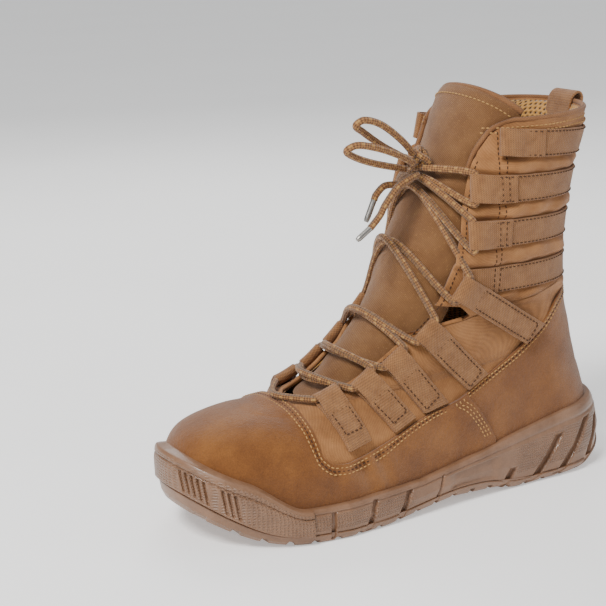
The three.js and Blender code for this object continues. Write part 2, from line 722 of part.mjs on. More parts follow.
// Closed surface through flat rings whose first half faces the second half
function stripSkin(rings) {
  const count = rings[0].length;
  const positions = rings.flat().flatMap((point) => [point.x, point.y, point.z]);
  const faces = [];
  for (let r = 0; r < rings.length - 1; r += 1) {
    for (let i = 0; i < count; i += 1) {
      const j = (i + 1) % count;
      const low = r * count;
      const high = low + count;
      faces.push(low + i, low + j, high + j, low + i, high + j, high + i);
    }
  }
  const top = (rings.length - 1) * count;
  for (let i = 0; i < count / 2 - 1; i += 1) {
    const far = count - 1 - i;
    faces.push(i, far, far - 1, i, far - 1, i + 1);
    faces.push(top + i, top + far - 1, top + far, top + i, top + i + 1, top + far - 1);
  }
  return closed(indexed(positions, faces));
}

// Row in which the last has this height at an angle
function rowAtHeight(z, a) {
  let low = 0.3;
  let high = 1.12;
  for (let i = 0; i < 30; i += 1) {
    const middle = (low + high) / 2;
    if (lastPoint(middle, a).z < z) low = middle;
    else high = middle;
  }
  return (low + high) / 2;
}

// A path over the last, as a function of its share, measured along its length.
// place gives the point at a length from its start, a height off the last and a distance across.
function stripPath(at) {
  const count = 16;
  const lengths = [0];
  const spot = (share) => {
    const { v, a } = at(share);
    return lastPoint(v, a);
  };
  for (let i = 1; i <= count; i += 1) {
    lengths.push(lengths[i - 1] + spot(i / count).distanceTo(spot((i - 1) / count)));
  }
  const length = lengths[count];
  const shareAt = (run) => {
    let i = 0;
    while (i < count - 1 && run > lengths[i + 1]) i += 1;
    return (i + (run - lengths[i]) / (lengths[i + 1] - lengths[i])) / count;
  };
  const place = (run, height, across) => {
    const share = shareAt(run);
    const { v, a } = at(share);
    const step = 0.01;
    const ahead = spot(share + step).sub(spot(share - step)).normalize();
    const side = lastNormal(v, a).cross(ahead).multiplyScalar(across);
    const byRow = lastPoint(v + step, a).sub(lastPoint(v - step, a)).divideScalar(2 * step);
    const byAngle = lastPoint(v, a + step).sub(lastPoint(v, a - step)).divideScalar(2 * step);
    const rr = byRow.dot(byRow);
    const aa = byAngle.dot(byAngle);
    const ra = byRow.dot(byAngle);
    const determinant = rr * aa - ra * ra;
    const rowStep = (side.dot(byRow) * aa - side.dot(byAngle) * ra) / determinant;
    const angleStep = (side.dot(byAngle) * rr - side.dot(byRow) * ra) / determinant;
    return onLast(v + rowStep, a + angleStep, height);
  };
  return { length, place };
}

// Rails of length and height, swept across their width and laid on the last along a path.
// Both cut sides are ladders between the rails, so they follow the last. A front closes the
// first rung with its own outline, around a room.
function layStrip({ runs, low, high, front = [], room = [] }, width, shift, place) {
  const count = runs.length;
  const under = runs.map((run) => new THREE.Vector2(run, low));
  const over = runs.map((run) => new THREE.Vector2(run, high)).reverse();
  const outline = [...under, ...over, ...front];
  const points = [...outline, ...room];
  const cap = [];
  for (let i = 0; i < count - 1; i += 1) {
    const j = 2 * count - 1 - i;
    cap.push([i, i + 1, j - 1], [i, j - 1, j]);
  }
  if (front.length) {
    const head = [0, ...outline.keys()].filter((i, k) => k === 0 || i >= 2 * count - 1);
    const corners = [...head, ...room.map((_, k) => outline.length + k)];
    THREE.ShapeUtils.triangulateShape(head.map((i) => outline[i]), [room])
      .forEach((face) => cap.push(face.map((k) => corners[k])));
  }
  const faces = cap.flatMap(([i, j, k]) => [k, j, i, i + points.length, j + points.length, k + points.length]);
  const wall = (from, length) => {
    for (let k = 0; k < length; k += 1) {
      const i = from + k;
      const j = from + ((k + 1) % length);
      faces.push(i, j, j + points.length, i, j + points.length, i + points.length);
    }
  };
  wall(0, outline.length);
  wall(outline.length, room.length);
  const positions = [-width / 2, width / 2].flatMap((across) => points.flatMap(({ x, y }) => {
    const spot = place(x, y, across + shift);
    return [spot.x, spot.y, spot.z];
  }));
  return closed(indexed(positions, faces));
}

// Lengths from one end to the other in steps no longer than a facet of webbing
function steps(from, to) {
  const count = Math.max(1, Math.ceil(Math.abs(to - from) / facetLength));
  return Array.from({ length: count + 1 }, (_, i) => THREE.MathUtils.lerp(from, to, i / count));
}

const flatRails = (length, low, thickness) => ({ runs: steps(0, length), low, high: low + thickness });

// Webbing folded back on itself in front, with room for the lace in the fold
const doubled = 2 * webbingThickness;
const foldHeight = doubled + laceRoom;
function foldRails(length, sewn) {
  const single = sewn < length;
  const seated = ([run, height]) => new THREE.Vector2(run, webbingSeat + height);
  const end = single ? [[sewn - 1, doubled], [loopDepth + 3, doubled]] : [];
  const front = [
    ...end,
    [loopDepth * 0.55, foldHeight * 0.86],
    [laceRoom / 2, foldHeight],
    [webbingThickness, foldHeight * 0.93],
    [0, foldHeight * 0.6],
    [0, foldHeight * 0.3],
    [webbingThickness, 0],
    [loopDepth, 0],
  ];
  const room = [
    [webbingThickness, foldHeight * 0.3],
    [webbingThickness, foldHeight * 0.6],
    [laceRoom / 2, foldHeight - webbingThickness],
    [loopDepth * 0.55, foldHeight * 0.86 - webbingThickness],
    [loopDepth, webbingThickness + 0.2],
    [webbingThickness * 1.6, webbingThickness],
  ];
  return {
    runs: steps(single ? sewn : loopDepth + 3, length),
    low: webbingSeat,
    high: webbingSeat + (single ? webbingThickness : doubled),
    front: front.map(seated),
    room: room.map(seated),
  };
}

// Angle on the given side, counted from the front
const onSide = (a, side) => (side < 0 ? a : 2 * Math.PI - a);

// Where the folds stand: at the edge of the throat, the top strap a little behind it
const foldReach = 3;
const topSetBack = 8;

function foldAngle(v, setBack) {
  return angleAt(v, throatHalf(v) - foldReach + setBack);
}

const zipX = (z) => {
  const share = (z - heightOf(zipBottomZ)) / (heightOf(zipTopZ) - heightOf(zipBottomZ));
  return THREE.MathUtils.lerp(zipBottomX, zipTopX, share) * footLength;
};

// Paths of the webbing, kept for the lace that runs through the folds
const folds = {};

function angleAtX(x, z, side) {
  let low = 0.3;
  let high = Math.PI - 0.05;
  for (let i = 0; i < 30; i += 1) {
    const middle = (low + high) / 2;
    if (lastPoint(rowAtHeight(z, middle), middle).x < x) low = middle;
    else high = middle;
  }
  return onSide((low + high) / 2, side);
}

function shaftPath(row, from, to) {
  return stripPath((share) => {
    const a = THREE.MathUtils.lerp(from, to, share);
    const back = THREE.MathUtils.smoothstep(Math.abs(Math.PI - a), 0, Math.PI);
    const z = heightOf(THREE.MathUtils.lerp(row.back, row.front, back));
    return { v: rowAtHeight(z, a), a };
  });
}

// Side zip: tape, teeth and the two suede facings lie on the upper, from the collar to the seam
const zipPath = stripPath((share) => {
  const z = heightOf(THREE.MathUtils.lerp(zipTopZ, zipBottomZ, share));
  const a = angleAtX(zipX(z), z, 1);
  return { v: rowAtHeight(z, a), a };
});

// All that the zip and its facings cover: straps and loops end beside it
const zipRoomWidth = zipTapeWidth + 2 * facingWidth + 10 * gap;
const zipRoom = solid(layStrip(flatRails(zipPath.length, -webbingSeat, 8), zipRoomWidth, 0, zipPath.place));

function loopPath(row, side) {
  const tailX = side < 0 ? row.tailX : row.innerX;
  const tailZ = side < 0 ? row.tailZ : row.innerZ;
  const tail = rowAndAngle(tailX * footLength, heightOf(tailZ), side);
  const start = onSide(foldAngle(row.v, 0), side);
  return stripPath((share) => ({
    v: THREE.MathUtils.lerp(row.v, tail.v, share),
    a: THREE.MathUtils.lerp(start, tail.a, share),
  }));
}

const sideName = (name, side) => `${name}_${side < 0 ? "outer" : "inner"}`;

// Everything the topmost slanted loop covers: the strap under it is cut back there
function underLoop(side) {
  const path = loopPath(loopRows[0], side);
  const height = webbingSeat + foldHeight + 2 * gap;
  return solid(layStrip(flatRails(path.length, -1, height + 1), webbingWidth + 3 * gap, 0, path.place));
}

function buildStraps() {
  const backSeam = 0.035;
  strapRows.forEach((row, i) => {
    const z = heightOf(row.front);
    const start = foldAngle(rowAtHeight(z, 0.6), i === 0 ? topSetBack : 0);
    const paths = {
      [-1]: shaftPath(row, start, Math.PI - backSeam),
      [1]: shaftPath(row, onSide(start, 1), angleAtX(zipX(z), z, 1)),
    };
    for (const side of [-1, 1]) {
      const path = paths[side];
      const name = sideName(row.name, side);
      folds[name] = path;
      const flat = row.name === "strap_4";
      const rails = flat
        ? flatRails(path.length, webbingSeat, webbingThickness)
        : foldRails(path.length, loopDepth + facetLength);
      const whole = solid(layStrip(rails, webbingWidth, 0, path.place)).subtract(zipRoom);
      add(name, surface(largest(flat ? whole.subtract(underLoop(side)) : whole)), webbing);
    }
    const rear = shaftPath(row, angleAtX(zipX(z), z, 1), Math.PI + backSeam);
    const plain = flatRails(rear.length, webbingSeat, webbingThickness);
    const behind = solid(layStrip(plain, webbingWidth, 0, rear.place)).subtract(zipRoom);
    add(`${row.name}_rear`, surface(largest(behind)), webbing);
  });
}

function buildLoops() {
  for (const row of loopRows) {
    for (const side of [-1, 1]) {
      const path = loopPath(row, side);
      const name = sideName(row.name, side);
      folds[name] = path;
      const whole = solid(layStrip(foldRails(path.length, path.length), webbingWidth, 0, path.place));
      const cut = whole.subtract(belowSeam).subtract(zipRoom);
      add(name, surface(largest(cut)), webbing);
    }
  }
}

// A round tube along a smooth line through points
function tube(points, diameter, sides, count) {
  const curve = new THREE.CatmullRomCurve3(points, false, "centripetal");
  curve.arcLengthDivisions = 1500;
  const section = new THREE.Shape(Array.from({ length: sides }, (_, i) => {
    const a = (2 * Math.PI * i) / sides;
    return new THREE.Vector2((diameter / 2) * Math.cos(a), (diameter / 2) * Math.sin(a));
  }));
  return closed(new THREE.ExtrudeGeometry(section, { steps: count, extrudePath: curve, bevelEnabled: false }));
}

// Rolled edge: up the throat's corners and round the collar, on the edge of the wall
function buildBinding() {
  const clear = bindingDiameter / 2 + gap;
  const edge = [0.92, 0.945, 0.965, 0.985];
  const rise = [0, 0.12, 0.45, 0.85];
  const half = edge.map((v) => throatHalf(v) - clear);
  const corner = (side) => edge.map((v, i) => onLast(v, onSide(angleAt(v, half[i]), side), -upperWall / 2)
    .add(new THREE.Vector3(0, 0, rise[i] * clear * 0.5)));
  const from = angleAt(1, throatHalf(1) + 1);
  const count = 22;
  const rim = Array.from({ length: count + 1 }, (_, i) => {
    const a = THREE.MathUtils.lerp(from, 2 * Math.PI - from, i / count);
    return onLast(1, a, -upperWall / 2).add(new THREE.Vector3(0, 0, clear + 0.1));
  });
  const points = [...corner(-1), ...rim, ...corner(1).reverse()];
  add("collar_binding", tube(points, bindingDiameter, 5, 30), fabric);
}

// Webbing loop over the rim at the back of the heel
function buildPullLoop() {
  const t = webbingThickness;
  const rim = lastPoint(1, Math.PI);
  const low = lastPoint(0.9, Math.PI);
  const lean = (rim.x - low.x) / (rim.z - low.z);
  const over = rim.z + bindingDiameter + 2 * gap + 2;
  const drop = 21;
  const outside = rim.x + webbingSeat + webbingThickness + 3 * gap;
  const inside = rim.x - upperWall - 2 * gap - 1.8;
  const leg = (x, z) => new THREE.Vector2(x + lean * (z - rim.z), z);
  const shape = new THREE.Shape([
    leg(outside, rim.z - drop),
    leg(outside + t, rim.z - drop),
    leg(outside + t, over),
    leg(outside - t, over + t * 1.4),
    leg(inside + t, over + t * 1.4),
    leg(inside - t, over),
    leg(inside - t, rim.z - drop * 0.7),
    leg(inside, rim.z - drop * 0.7),
    leg(inside, over - t / 2),
    leg(outside, over - t / 2),
  ]);
  const geometry = new THREE.ExtrudeGeometry(shape, { depth: pullLoopWidth, bevelEnabled: false });
  geometry.rotateX(Math.PI / 2);
  geometry.translate(0, pullLoopWidth / 2, 0);
  add("pull_loop", closed(geometry), webbing);
}

function zipStrip(name, width, shift, low, thickness, from, look) {
  const rails = { runs: steps(from, zipPath.length), low, high: low + thickness };
  const strip = solid(layStrip(rails, width, shift, zipPath.place)).subtract(belowSeam);
  add(name, surface(largest(strip)), look);
}

const teethLow = webbingSeat + zipTapeThickness + gap;
const sliderLow = teethLow + zipTeethThickness + gap;
const sliderAt = sliderLength / 2 + 3;

function buildZip() {
  const shift = zipTapeWidth / 2 + gap + facingWidth / 2;
  zipStrip("zip_tape", zipTapeWidth, 0, webbingSeat, zipTapeThickness, 0, fabric);
  zipStrip("zip_facing_front", facingWidth, shift, webbingSeat, facingThickness, 0, suede);
  zipStrip("zip_facing_rear", facingWidth, -shift, webbingSeat, facingThickness, 0, suede);
  zipStrip("zip_teeth", zipTeethWidth, 0, teethLow, zipTeethThickness, 2, brass);
}

// Slider and pull stand in the zip's own frame: down the zip, across it and off the last
const pivotHeight = sliderLow + sliderThickness + gap + pullThickness / 2 + 0.2;

function sliderFrame() {
  const centre = zipPath.place(sliderAt, 0, 0);
  const down = zipPath.place(sliderAt + 4, 0, 0).sub(zipPath.place(sliderAt - 4, 0, 0)).normalize();
  const off = zipPath.place(sliderAt, 1, 0).sub(centre).normalize();
  const across = off.clone().cross(down).normalize();
  const out = down.clone().cross(across).normalize();
  const frame = new THREE.Matrix4().makeBasis(down, across, out);
  frame.setPosition(centre);
  return frame;
}

function buildSlider() {
  const frame = sliderFrame();
  const reach = bridgeWidth + pullThickness;
  const top = pivotHeight + pullThickness * 0.75 + 2 * gap;
  const plate = new THREE.BoxGeometry(sliderLength, sliderWidth, sliderThickness);
  plate.translate(0, 0, sliderLow + sliderThickness / 2);
  const arch = new THREE.Shape([
    new THREE.Vector2(-reach, sliderLow + 0.5),
    new THREE.Vector2(reach, sliderLow + 0.5),
    new THREE.Vector2(reach, top),
    new THREE.Vector2(reach - 1, top + 1.2),
    new THREE.Vector2(1 - reach, top + 1.2),
    new THREE.Vector2(-reach, top),
  ]);
  const inner = pullThickness * 0.75 + gap;
  arch.holes.push(new THREE.Path([
    new THREE.Vector2(-inner, sliderLow + 1),
    new THREE.Vector2(-inner, top - 0.2),
    new THREE.Vector2(inner, top - 0.2),
    new THREE.Vector2(inner, sliderLow + 1),
  ]));
  const bridge = new THREE.ExtrudeGeometry(arch, { depth: bridgeWidth, bevelEnabled: false });
  bridge.rotateX(Math.PI / 2);
  bridge.translate(0, bridgeWidth / 2, 0);
  const body = solid(plate).add(solid(bridge));
  const geometry = surface(body);
  geometry.applyMatrix4(frame);
  add("zip_slider", geometry, brass);
}

// The pull hangs straight down from its crossbar under the bridge
function buildPull() {
  const frame = sliderFrame();
  const pivot = new THREE.Vector3(0, 0, pivotHeight).applyMatrix4(frame);
  const across = new THREE.Vector3(0, 1, 0).transformDirection(frame);
  const half = pullWidth / 2;
  const window = 6;
  const arm = (pullWidth - bridgeWidth) / 2 - 0.9;
  const outline = new THREE.Shape([
    new THREE.Vector2(-pullThickness / 2, -half),
    new THREE.Vector2(pullLength - 1.5, -half),
    new THREE.Vector2(pullLength, -half + 1.5),
    new THREE.Vector2(pullLength, half - 1.5),
    new THREE.Vector2(pullLength - 1.5, half),
    new THREE.Vector2(-pullThickness / 2, half),
  ]);
  outline.holes.push(new THREE.Path([
    new THREE.Vector2(pullThickness / 2, -half + arm),
    new THREE.Vector2(pullThickness / 2, half - arm),
    new THREE.Vector2(window, half - arm),
    new THREE.Vector2(window, -half + arm),
  ]));
  const slot = pullLength - 5;
  outline.holes.push(new THREE.Path([
    new THREE.Vector2(window + 4, -1.1),
    new THREE.Vector2(window + 4, 1.1),
    new THREE.Vector2(slot, 1.1),
    new THREE.Vector2(slot, -1.1),
  ]));
  const geometry = new THREE.ExtrudeGeometry(outline, { depth: pullThickness, bevelEnabled: false });
  geometry.translate(0, 0, -pullThickness / 2);
  const down = new THREE.Vector3(0, 0, -1).addScaledVector(across, across.z).normalize();
  const out = down.clone().cross(across).normalize();
  const pose = new THREE.Matrix4().makeBasis(down, across, out);
  pose.setPosition(pivot);
  geometry.applyMatrix4(pose);
  add("zip_pull", closed(geometry), brass);
}

function buildVents() {
  for (const row of ventRows) {
    const { v, a } = rowAndAngle(row.x * footLength, heightOf(row.z), 1);
    const profile = [
      new THREE.Vector2(ventHole, 0),
      new THREE.Vector2(ventRadius, 0),
      new THREE.Vector2(ventRadius * 0.9, ventThickness),
      new THREE.Vector2(ventHole, ventThickness * 0.8),
      new THREE.Vector2(ventHole, 0),
    ];
    const ring = new THREE.LatheGeometry(profile, 10);
    const off = lastNormal(v, a);
    ring.applyQuaternion(new THREE.Quaternion().setFromUnitVectors(new THREE.Vector3(0, 1, 0), off));
    const seat = onLast(v, a, suedeOuter + gap + 0.4);
    ring.translate(seat.x, seat.y, seat.z);
    add(row.name, closed(ring), steel);
  }
}

// The lace criss-crosses in front of the folds, from the knot down to the bar over the vamp
const laceLevels = ["strap_2", "strap_3", "loop_1", "loop_2", "loop_3", "loop_4", "loop_5"];
const laceLift = webbingSeat + foldHeight / 2;
const laceFront = laceDiameter / 2 + 2 * gap;
const crossingLift = laceDiameter / 2 + 3;
const laceLead = 5;
const agletDiameter = 3.6;
const laceSides = 5;
const laceSteps = 3;
const knotRow = 0.905;

const laceTurn = (level, side, ahead) => folds[sideName(level, side)].place(-laceFront - ahead, laceLift, 0);

// Row of the front ridge that stands at this place along the boot
function ridgeRow(x) {
  let low = throatRows[0].v - 0.02;
  let high = 1;
  for (let i = 0; i < 30; i += 1) {
    const middle = (low + high) / 2;
    if (lastPoint(middle, 0).x < x) low = middle;
    else high = middle;
  }
  return (low + high) / 2;
}

// One strand over the ridge, from point to point through both of their leads
function strand(from, leadFrom, leadTo, to) {
  const middle = leadFrom.clone().add(leadTo).multiplyScalar(0.5);
  const ridge = onLast(ridgeRow(middle.x - 12), 0, crossingLift);
  return solid(tube([from, leadFrom, ridge, leadTo, to], laceDiameter, laceSides, laceSteps));
}

function buildLace() {
  const above = onLast(knotRow, 0, crossingLift);
  const top = laceLevels[0];
  const strands = [-1, 1].map((side) => solid(tube(
    [above, laceTurn(top, side, laceLead), laceTurn(top, side, 0)],
    laceDiameter,
    laceSides,
    laceSteps,
  )));
  for (let i = 0; i < laceLevels.length - 1; i += 1) {
    const from = laceLevels[i];
    const to = laceLevels[i + 1];
    for (const side of [-1, 1]) {
      strands.push(strand(
        laceTurn(from, side, 0),
        laceTurn(from, side, laceLead),
        laceTurn(to, -side, laceLead),
        laceTurn(to, -side, 0),
      ));
    }
  }
  const last = laceLevels[laceLevels.length - 1];
  const bar = onLast(throatRows[0].v - 0.012, 0, suedeOuter + laceDiameter / 2 + 0.8);
  const ends = [-1, 1].flatMap((side) => [laceTurn(last, side, 0), laceTurn(last, side, laceLead + 3)]);
  strands.push(solid(tube([ends[0], ends[1], bar, ends[3], ends[2]], laceDiameter, laceSides, laceSteps + 2)));
  add("lace", surface(largest(strands.reduce((sum, one) => sum.add(one)))), cord);
}

// Knot, bow and ends, as they hang toward the toe and the outer side
const knotAt = new THREE.Vector3(21.5, -6, 204.5);
const knotRadii = new THREE.Vector3(5, 6, 5);
const bowRows = {
  lace_bow_upper: [
    { x: 15.5, y: -9.5, z: 208.5 },
    { x: 3, y: -14, z: 219 },
    { x: -12, y: -17, z: 229 },
    { x: -24, y: -18, z: 232.5 },
    { x: -28, y: -16, z: 229.5 },
    { x: -21, y: -12, z: 225 },
    { x: -5, y: -7, z: 215 },
    { x: 14.5, y: -4.5, z: 204.5 },
  ],
  lace_bow_lower: [
    { x: 13.5, y: -12, z: 203.5 },
    { x: 0, y: -17, z: 210 },
    { x: -16, y: -20, z: 216 },
    { x: -30, y: -20, z: 219 },
    { x: -35, y: -17, z: 216 },
    { x: -28, y: -13, z: 211.5 },
    { x: -12, y: -9, z: 205.5 },
    { x: 12.5, y: -5, z: 199 },
  ],
};
const endRows = {
  lace_end_long: [
    { x: 16, y: -13, z: 196.5 },
    { x: 8, y: -15.5, z: 195 },
    { x: 0, y: -16, z: 191.5 },
    { x: -9, y: -16, z: 181.6 },
    { x: -12.5, y: -16, z: 176.1 },
    { x: -19.4, y: -16, z: 169.3 },
  ],
  lace_end_short: [
    { x: 16, y: -6.5, z: 193 },
    { x: 7, y: -8.5, z: 191 },
    { x: -4.4, y: -9, z: 191.5 },
    { x: -10.5, y: -9, z: 187 },
    { x: -12, y: -9, z: 184 },
  ],
};
const agletRows = {
  aglet_long: [{ x: -20, y: -16, z: 168.9 }, { x: -28.4, y: -16, z: 163.4 }],
  aglet_short: [{ x: -12.3, y: -9, z: 183.3 }, { x: -17.8, y: -9, z: 171.7 }],
};
const spot = (row) => new THREE.Vector3(row.x, row.y, row.z);

function buildKnot() {
  const knot = new THREE.SphereGeometry(1, 9, 6);
  knot.scale(knotRadii.x, knotRadii.y, knotRadii.z);
  knot.translate(knotAt.x, knotAt.y, knotAt.z);
  add("lace_knot", closed(knot), cord);
  for (const [name, rows] of Object.entries(bowRows)) add(name, tube(rows.map(spot), laceDiameter, 5, 14), cord);
  for (const [name, rows] of Object.entries(endRows)) add(name, tube(rows.map(spot), laceDiameter, 5, 8), cord);
  for (const [name, rows] of Object.entries(agletRows)) add(name, tube(rows.map(spot), agletDiameter, 6, 1), steel);
}


buildUpper();
buildInsole();
buildTongue();
buildOutsole();
buildMidsoleAndBumper();
buildSuede();
buildStraps();
buildLoops();
buildBinding();
buildPullLoop();
buildZip();
buildSlider();
buildPull();
buildVents();
buildLace();

// The origin is the middle of the underside
const bounds = new THREE.Box3().setFromObject(boot);
buildKnot();
boot.position.set(-(bounds.min.x + bounds.max.x) / 2, -(bounds.min.y + bounds.max.y) / 2, -bounds.min.z);

export default boot;
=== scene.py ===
# Left combat boot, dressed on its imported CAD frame. Shapes are worked out in millimetres in the
# frame of the last (toe -X, outer side -Y, +Z up), then shifted into the row frame in metres.
import math

import bpy
import numpy as np
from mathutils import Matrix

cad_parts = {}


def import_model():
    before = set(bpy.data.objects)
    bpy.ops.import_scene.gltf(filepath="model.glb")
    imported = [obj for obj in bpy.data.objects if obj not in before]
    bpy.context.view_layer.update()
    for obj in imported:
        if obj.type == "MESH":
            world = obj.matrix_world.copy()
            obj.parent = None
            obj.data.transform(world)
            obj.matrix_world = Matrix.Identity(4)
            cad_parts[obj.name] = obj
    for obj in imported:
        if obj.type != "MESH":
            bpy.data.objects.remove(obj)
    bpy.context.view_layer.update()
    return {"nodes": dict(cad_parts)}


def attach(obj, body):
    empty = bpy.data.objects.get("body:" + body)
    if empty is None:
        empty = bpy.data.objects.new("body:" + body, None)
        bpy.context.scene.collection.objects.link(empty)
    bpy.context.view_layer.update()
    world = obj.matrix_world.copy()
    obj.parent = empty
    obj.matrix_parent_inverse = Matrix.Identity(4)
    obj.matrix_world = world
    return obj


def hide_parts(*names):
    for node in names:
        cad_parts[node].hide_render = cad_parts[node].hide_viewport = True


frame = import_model()

SHIFT = np.array([-2.595, -2.516, 0.0])
MM = 0.001
BOOT = "boot"

# ---------------------------------------------------------------- sizes, as in the part's source
FOOT_LENGTH = 278.0
BALL_WIDTH = 98.0
COLLAR_WIDTH = 95.0
TOE_HEIGHT = 67.0
COLLAR_HEIGHT = 228.0
LAST_CURVE = 6.0
TOE_SPRING = 25.0
ARCH_RISE = 5.5
HEEL_BEVEL = 11.0
BALL_THICKNESS = 14.0
HEEL_THICKNESS = 24.0
TREAD_LAYER = 5.0
RIM_WALL = 5.0
HEEL_FLARE = 7.0
BUMPER_HEIGHT = 19.0
UPPER_WALL = 2.4
SUEDE = 1.4
GAP = 0.3
WEBBING_WIDTH = 16.0
WEBBING = 1.4
LACE = 4.2
LOOP_REACH = 3.0
RIM_ROW = 0.08

LAST_KEYS = ("v", "front", "frontZ", "back", "backZ", "ball", "waist", "heel", "nose", "seat", "sag")
LAST_ROWS = np.array([
    (0, -0.5, 0.5, 0.5, 0.4, 0.5, 0.37, 0.345, 0.27, 0.155, 0),
    (0.08, -0.507, 0.69, 0.513, 0.6, 0.512, 0.39, 0.372, 0.28, 0.15, 0.14),
    (0.16, -0.487, 0.87, 0.504, 0.78, 0.475, 0.4, 0.378, 0.29, 0.15, 0.12),
    (0.24, -0.432, 0.965, 0.491, 0.955, 0.42, 0.4, 0.374, 0.28, 0.155, 0.1),
    (0.32, -0.349, 1, 0.478, 1.062, 0.36, 0.39, 0.372, 0.26, 0.16, 0.06),
    (0.4, -0.259, 1.03, 0.466, 1.15, 0.33, 0.385, 0.376, 0.24, 0.165, 0.03),
    (0.48, -0.18, 1.09, 0.453, 1.236, 0.32, 0.39, 0.384, 0.23, 0.17, 0.01),
    (0.56, -0.108, 1.187, 0.445, 1.342, 0.33, 0.4, 0.398, 0.225, 0.175, 0),
    (0.64, -0.047, 1.311, 0.441, 1.447, 0.35, 0.415, 0.415, 0.22, 0.18, 0),
    (0.72, -0.003, 1.46, 0.441, 1.565, 0.38, 0.44, 0.438, 0.21, 0.18, 0),
    (0.8, 0.043, 1.62, 0.448, 1.69, 0.4, 0.462, 0.462, 0.2, 0.18, 0),
    (0.88, 0.09, 1.764, 0.462, 1.814, 0.42, 0.478, 0.478, 0.185, 0.18, 0),
    (0.95, 0.126, 1.88, 0.48, 1.913, 0.43, 0.488, 0.488, 0.18, 0.178, 0),
    (1, 0.151, 1.985, 0.493, 2, 0.44, 0.495, 0.495, 0.176, 0.176, 0),
    (1.12, 0.19, 2.13, 0.513, 2.15, 0.45, 0.5, 0.5, 0.176, 0.176, 0),
])
CURVE_ROWS = np.array([(-0.52, 1), (-0.35, 0.7), (-0.2, 0.05), (0.05, -0.8), (0.33, -0.15), (0.52, 0)])
UNDER_ROWS = np.array([
    (-0.58, 1.2, 0, 0), (-0.53, 0.96, 0, 0), (-0.47, 0.56, 0, 0), (-0.4, 0.2, 0, 0), (-0.34, 0.04, 0, 0),
    (-0.3, 0, 0, 0), (-0.12, 0, 0, 0), (-0.04, 0, 0.45, 0), (0.06, 0, 1, 0), (0.15, 0, 0.9, 0),
    (0.22, 0, 0.2, 0), (0.25, 0, 0, 0), (0.43, 0, 0, 0), (0.47, 0, 0, 0.15), (0.52, 0, 0, 0.55),
    (0.58, 0, 0, 1.1),
])
# x, lift, rim, out, layer, flare
SOLE_ROWS = np.array([
    (-0.56, 0, 0.9, 1.15, 1.9, 0), (-0.48, 0, 0.9, 1.15, 1.8, 0), (-0.36, 0, 1.3, 1.05, 1.2, 0),
    (-0.2, 0, 1.4, 1, 1, 0), (-0.02, 0.1, 1.4, 1.1, 1, 0), (0.14, 0.5, 2, 1.3, 1, 0),
    (0.26, 0.9, 2.6, 1.35, 1, 0.05), (0.38, 1, 3.6, 1.35, 1.1, 0.3), (0.46, 1, 4, 1.5, 1.35, 0.7),
    (0.56, 1, 4, 1.75, 1.6, 1),
])
THROAT_ROWS = np.array([
    (0.4, 0.05), (0.41, 0.13), (0.43, 0.185), (0.47, 0.225), (0.53, 0.27), (0.6, 0.325), (0.66, 0.365),
    (0.72, 0.385), (0.78, 0.38), (0.84, 0.35), (0.9, 0.325), (0.95, 0.325), (0.975, 0.355), (1, 0.42),
    (1.12, 0.43),
])
SEAM_ROWS = np.array([
    (-0.262, 0.74), (-0.24, 0.655), (-0.205, 0.642), (-0.108, 0.731), (-0.007, 0.866), (0.083, 0.955),
    (0.122, 1.01), (0.201, 1.075), (0.266, 1.137), (0.335, 1.224), (0.371, 1.28), (0.42, 1.32), (0.56, 1.35),
])
VAMP_REAR = np.array([(0.2, 0.2), (0.537, 0.183), (0.687, 0.162), (0.836, 0.137), (0.985, 0.108)])
STRAPS = (("strap_1", 1.925, 1.885), ("strap_2", 1.755, 1.74), ("strap_3", 1.595, 1.58), ("strap_4", 1.42, 1.41))
LOOPS = (
    ("loop_1", 0.68, 0.3, 1.17, 0.2, 1.3), ("loop_2", 0.595, 0.147, 1.02, 0.147, 1.02),
    ("loop_3", 0.535, 0.02, 0.89, 0.02, 0.89), ("loop_4", 0.477, -0.076, 0.755, -0.073, 0.76),
    ("loop_5", 0.425, -0.187, 0.66, -0.187, 0.66),
)
ZIP_TOP = (0.327, 1.975)
ZIP_BOTTOM = (0.298, 1.12)


# ---------------------------------------------------------------- the last
def smooth(rows, at, column):
    """Cubic through a table's first column, each slope taken from the two neighbouring rows."""
    k, c = rows[:, 0], rows[:, column]
    last = len(k) - 1
    lo, hi = np.maximum(np.arange(last + 1) - 1, 0), np.minimum(np.arange(last + 1) + 1, last)
    slope = (c[hi] - c[lo]) / (k[hi] - k[lo])
    at = np.asarray(at, float)
    i = np.clip(np.searchsorted(k, at, side="left") - 1, 0, last - 1)
    span = k[i + 1] - k[i]
    t = np.clip((at - k[i]) / span, 0, 1)
    t2, t3 = t * t, t ** 3
    return ((2 * t3 - 3 * t2 + 1) * c[i] + (t3 - 2 * t2 + t) * span * slope[i]
            + (3 * t2 - 2 * t3) * c[i + 1] + (t3 - t2) * span * slope[i + 1])


def row(v, name):
    return smooth(LAST_ROWS, v, LAST_KEYS.index(name))


def step(x, low, high):
    """0 below low, 1 above high, with a smooth rise between them."""
    t = np.clip((np.asarray(x, float) - low) / (high - low), 0, 1)
    return t * t * (3 - 2 * t)


def height_of(share):
    """0 is the floor, 1 the top of the toe box and 2 the collar."""
    share = np.asarray(share, float)
    return np.where(share <= 1, share * TOE_HEIGHT, TOE_HEIGHT + (share - 1) * (COLLAR_HEIGHT - TOE_HEIGHT))


def underside(x):
    at = x / FOOT_LENGTH
    return (np.maximum(0, TOE_SPRING * smooth(UNDER_ROWS, at, 1))
            + np.maximum(0, ARCH_RISE * smooth(UNDER_ROWS, at, 2))
            + np.maximum(0, HEEL_BEVEL * smooth(UNDER_ROWS, at, 3)))


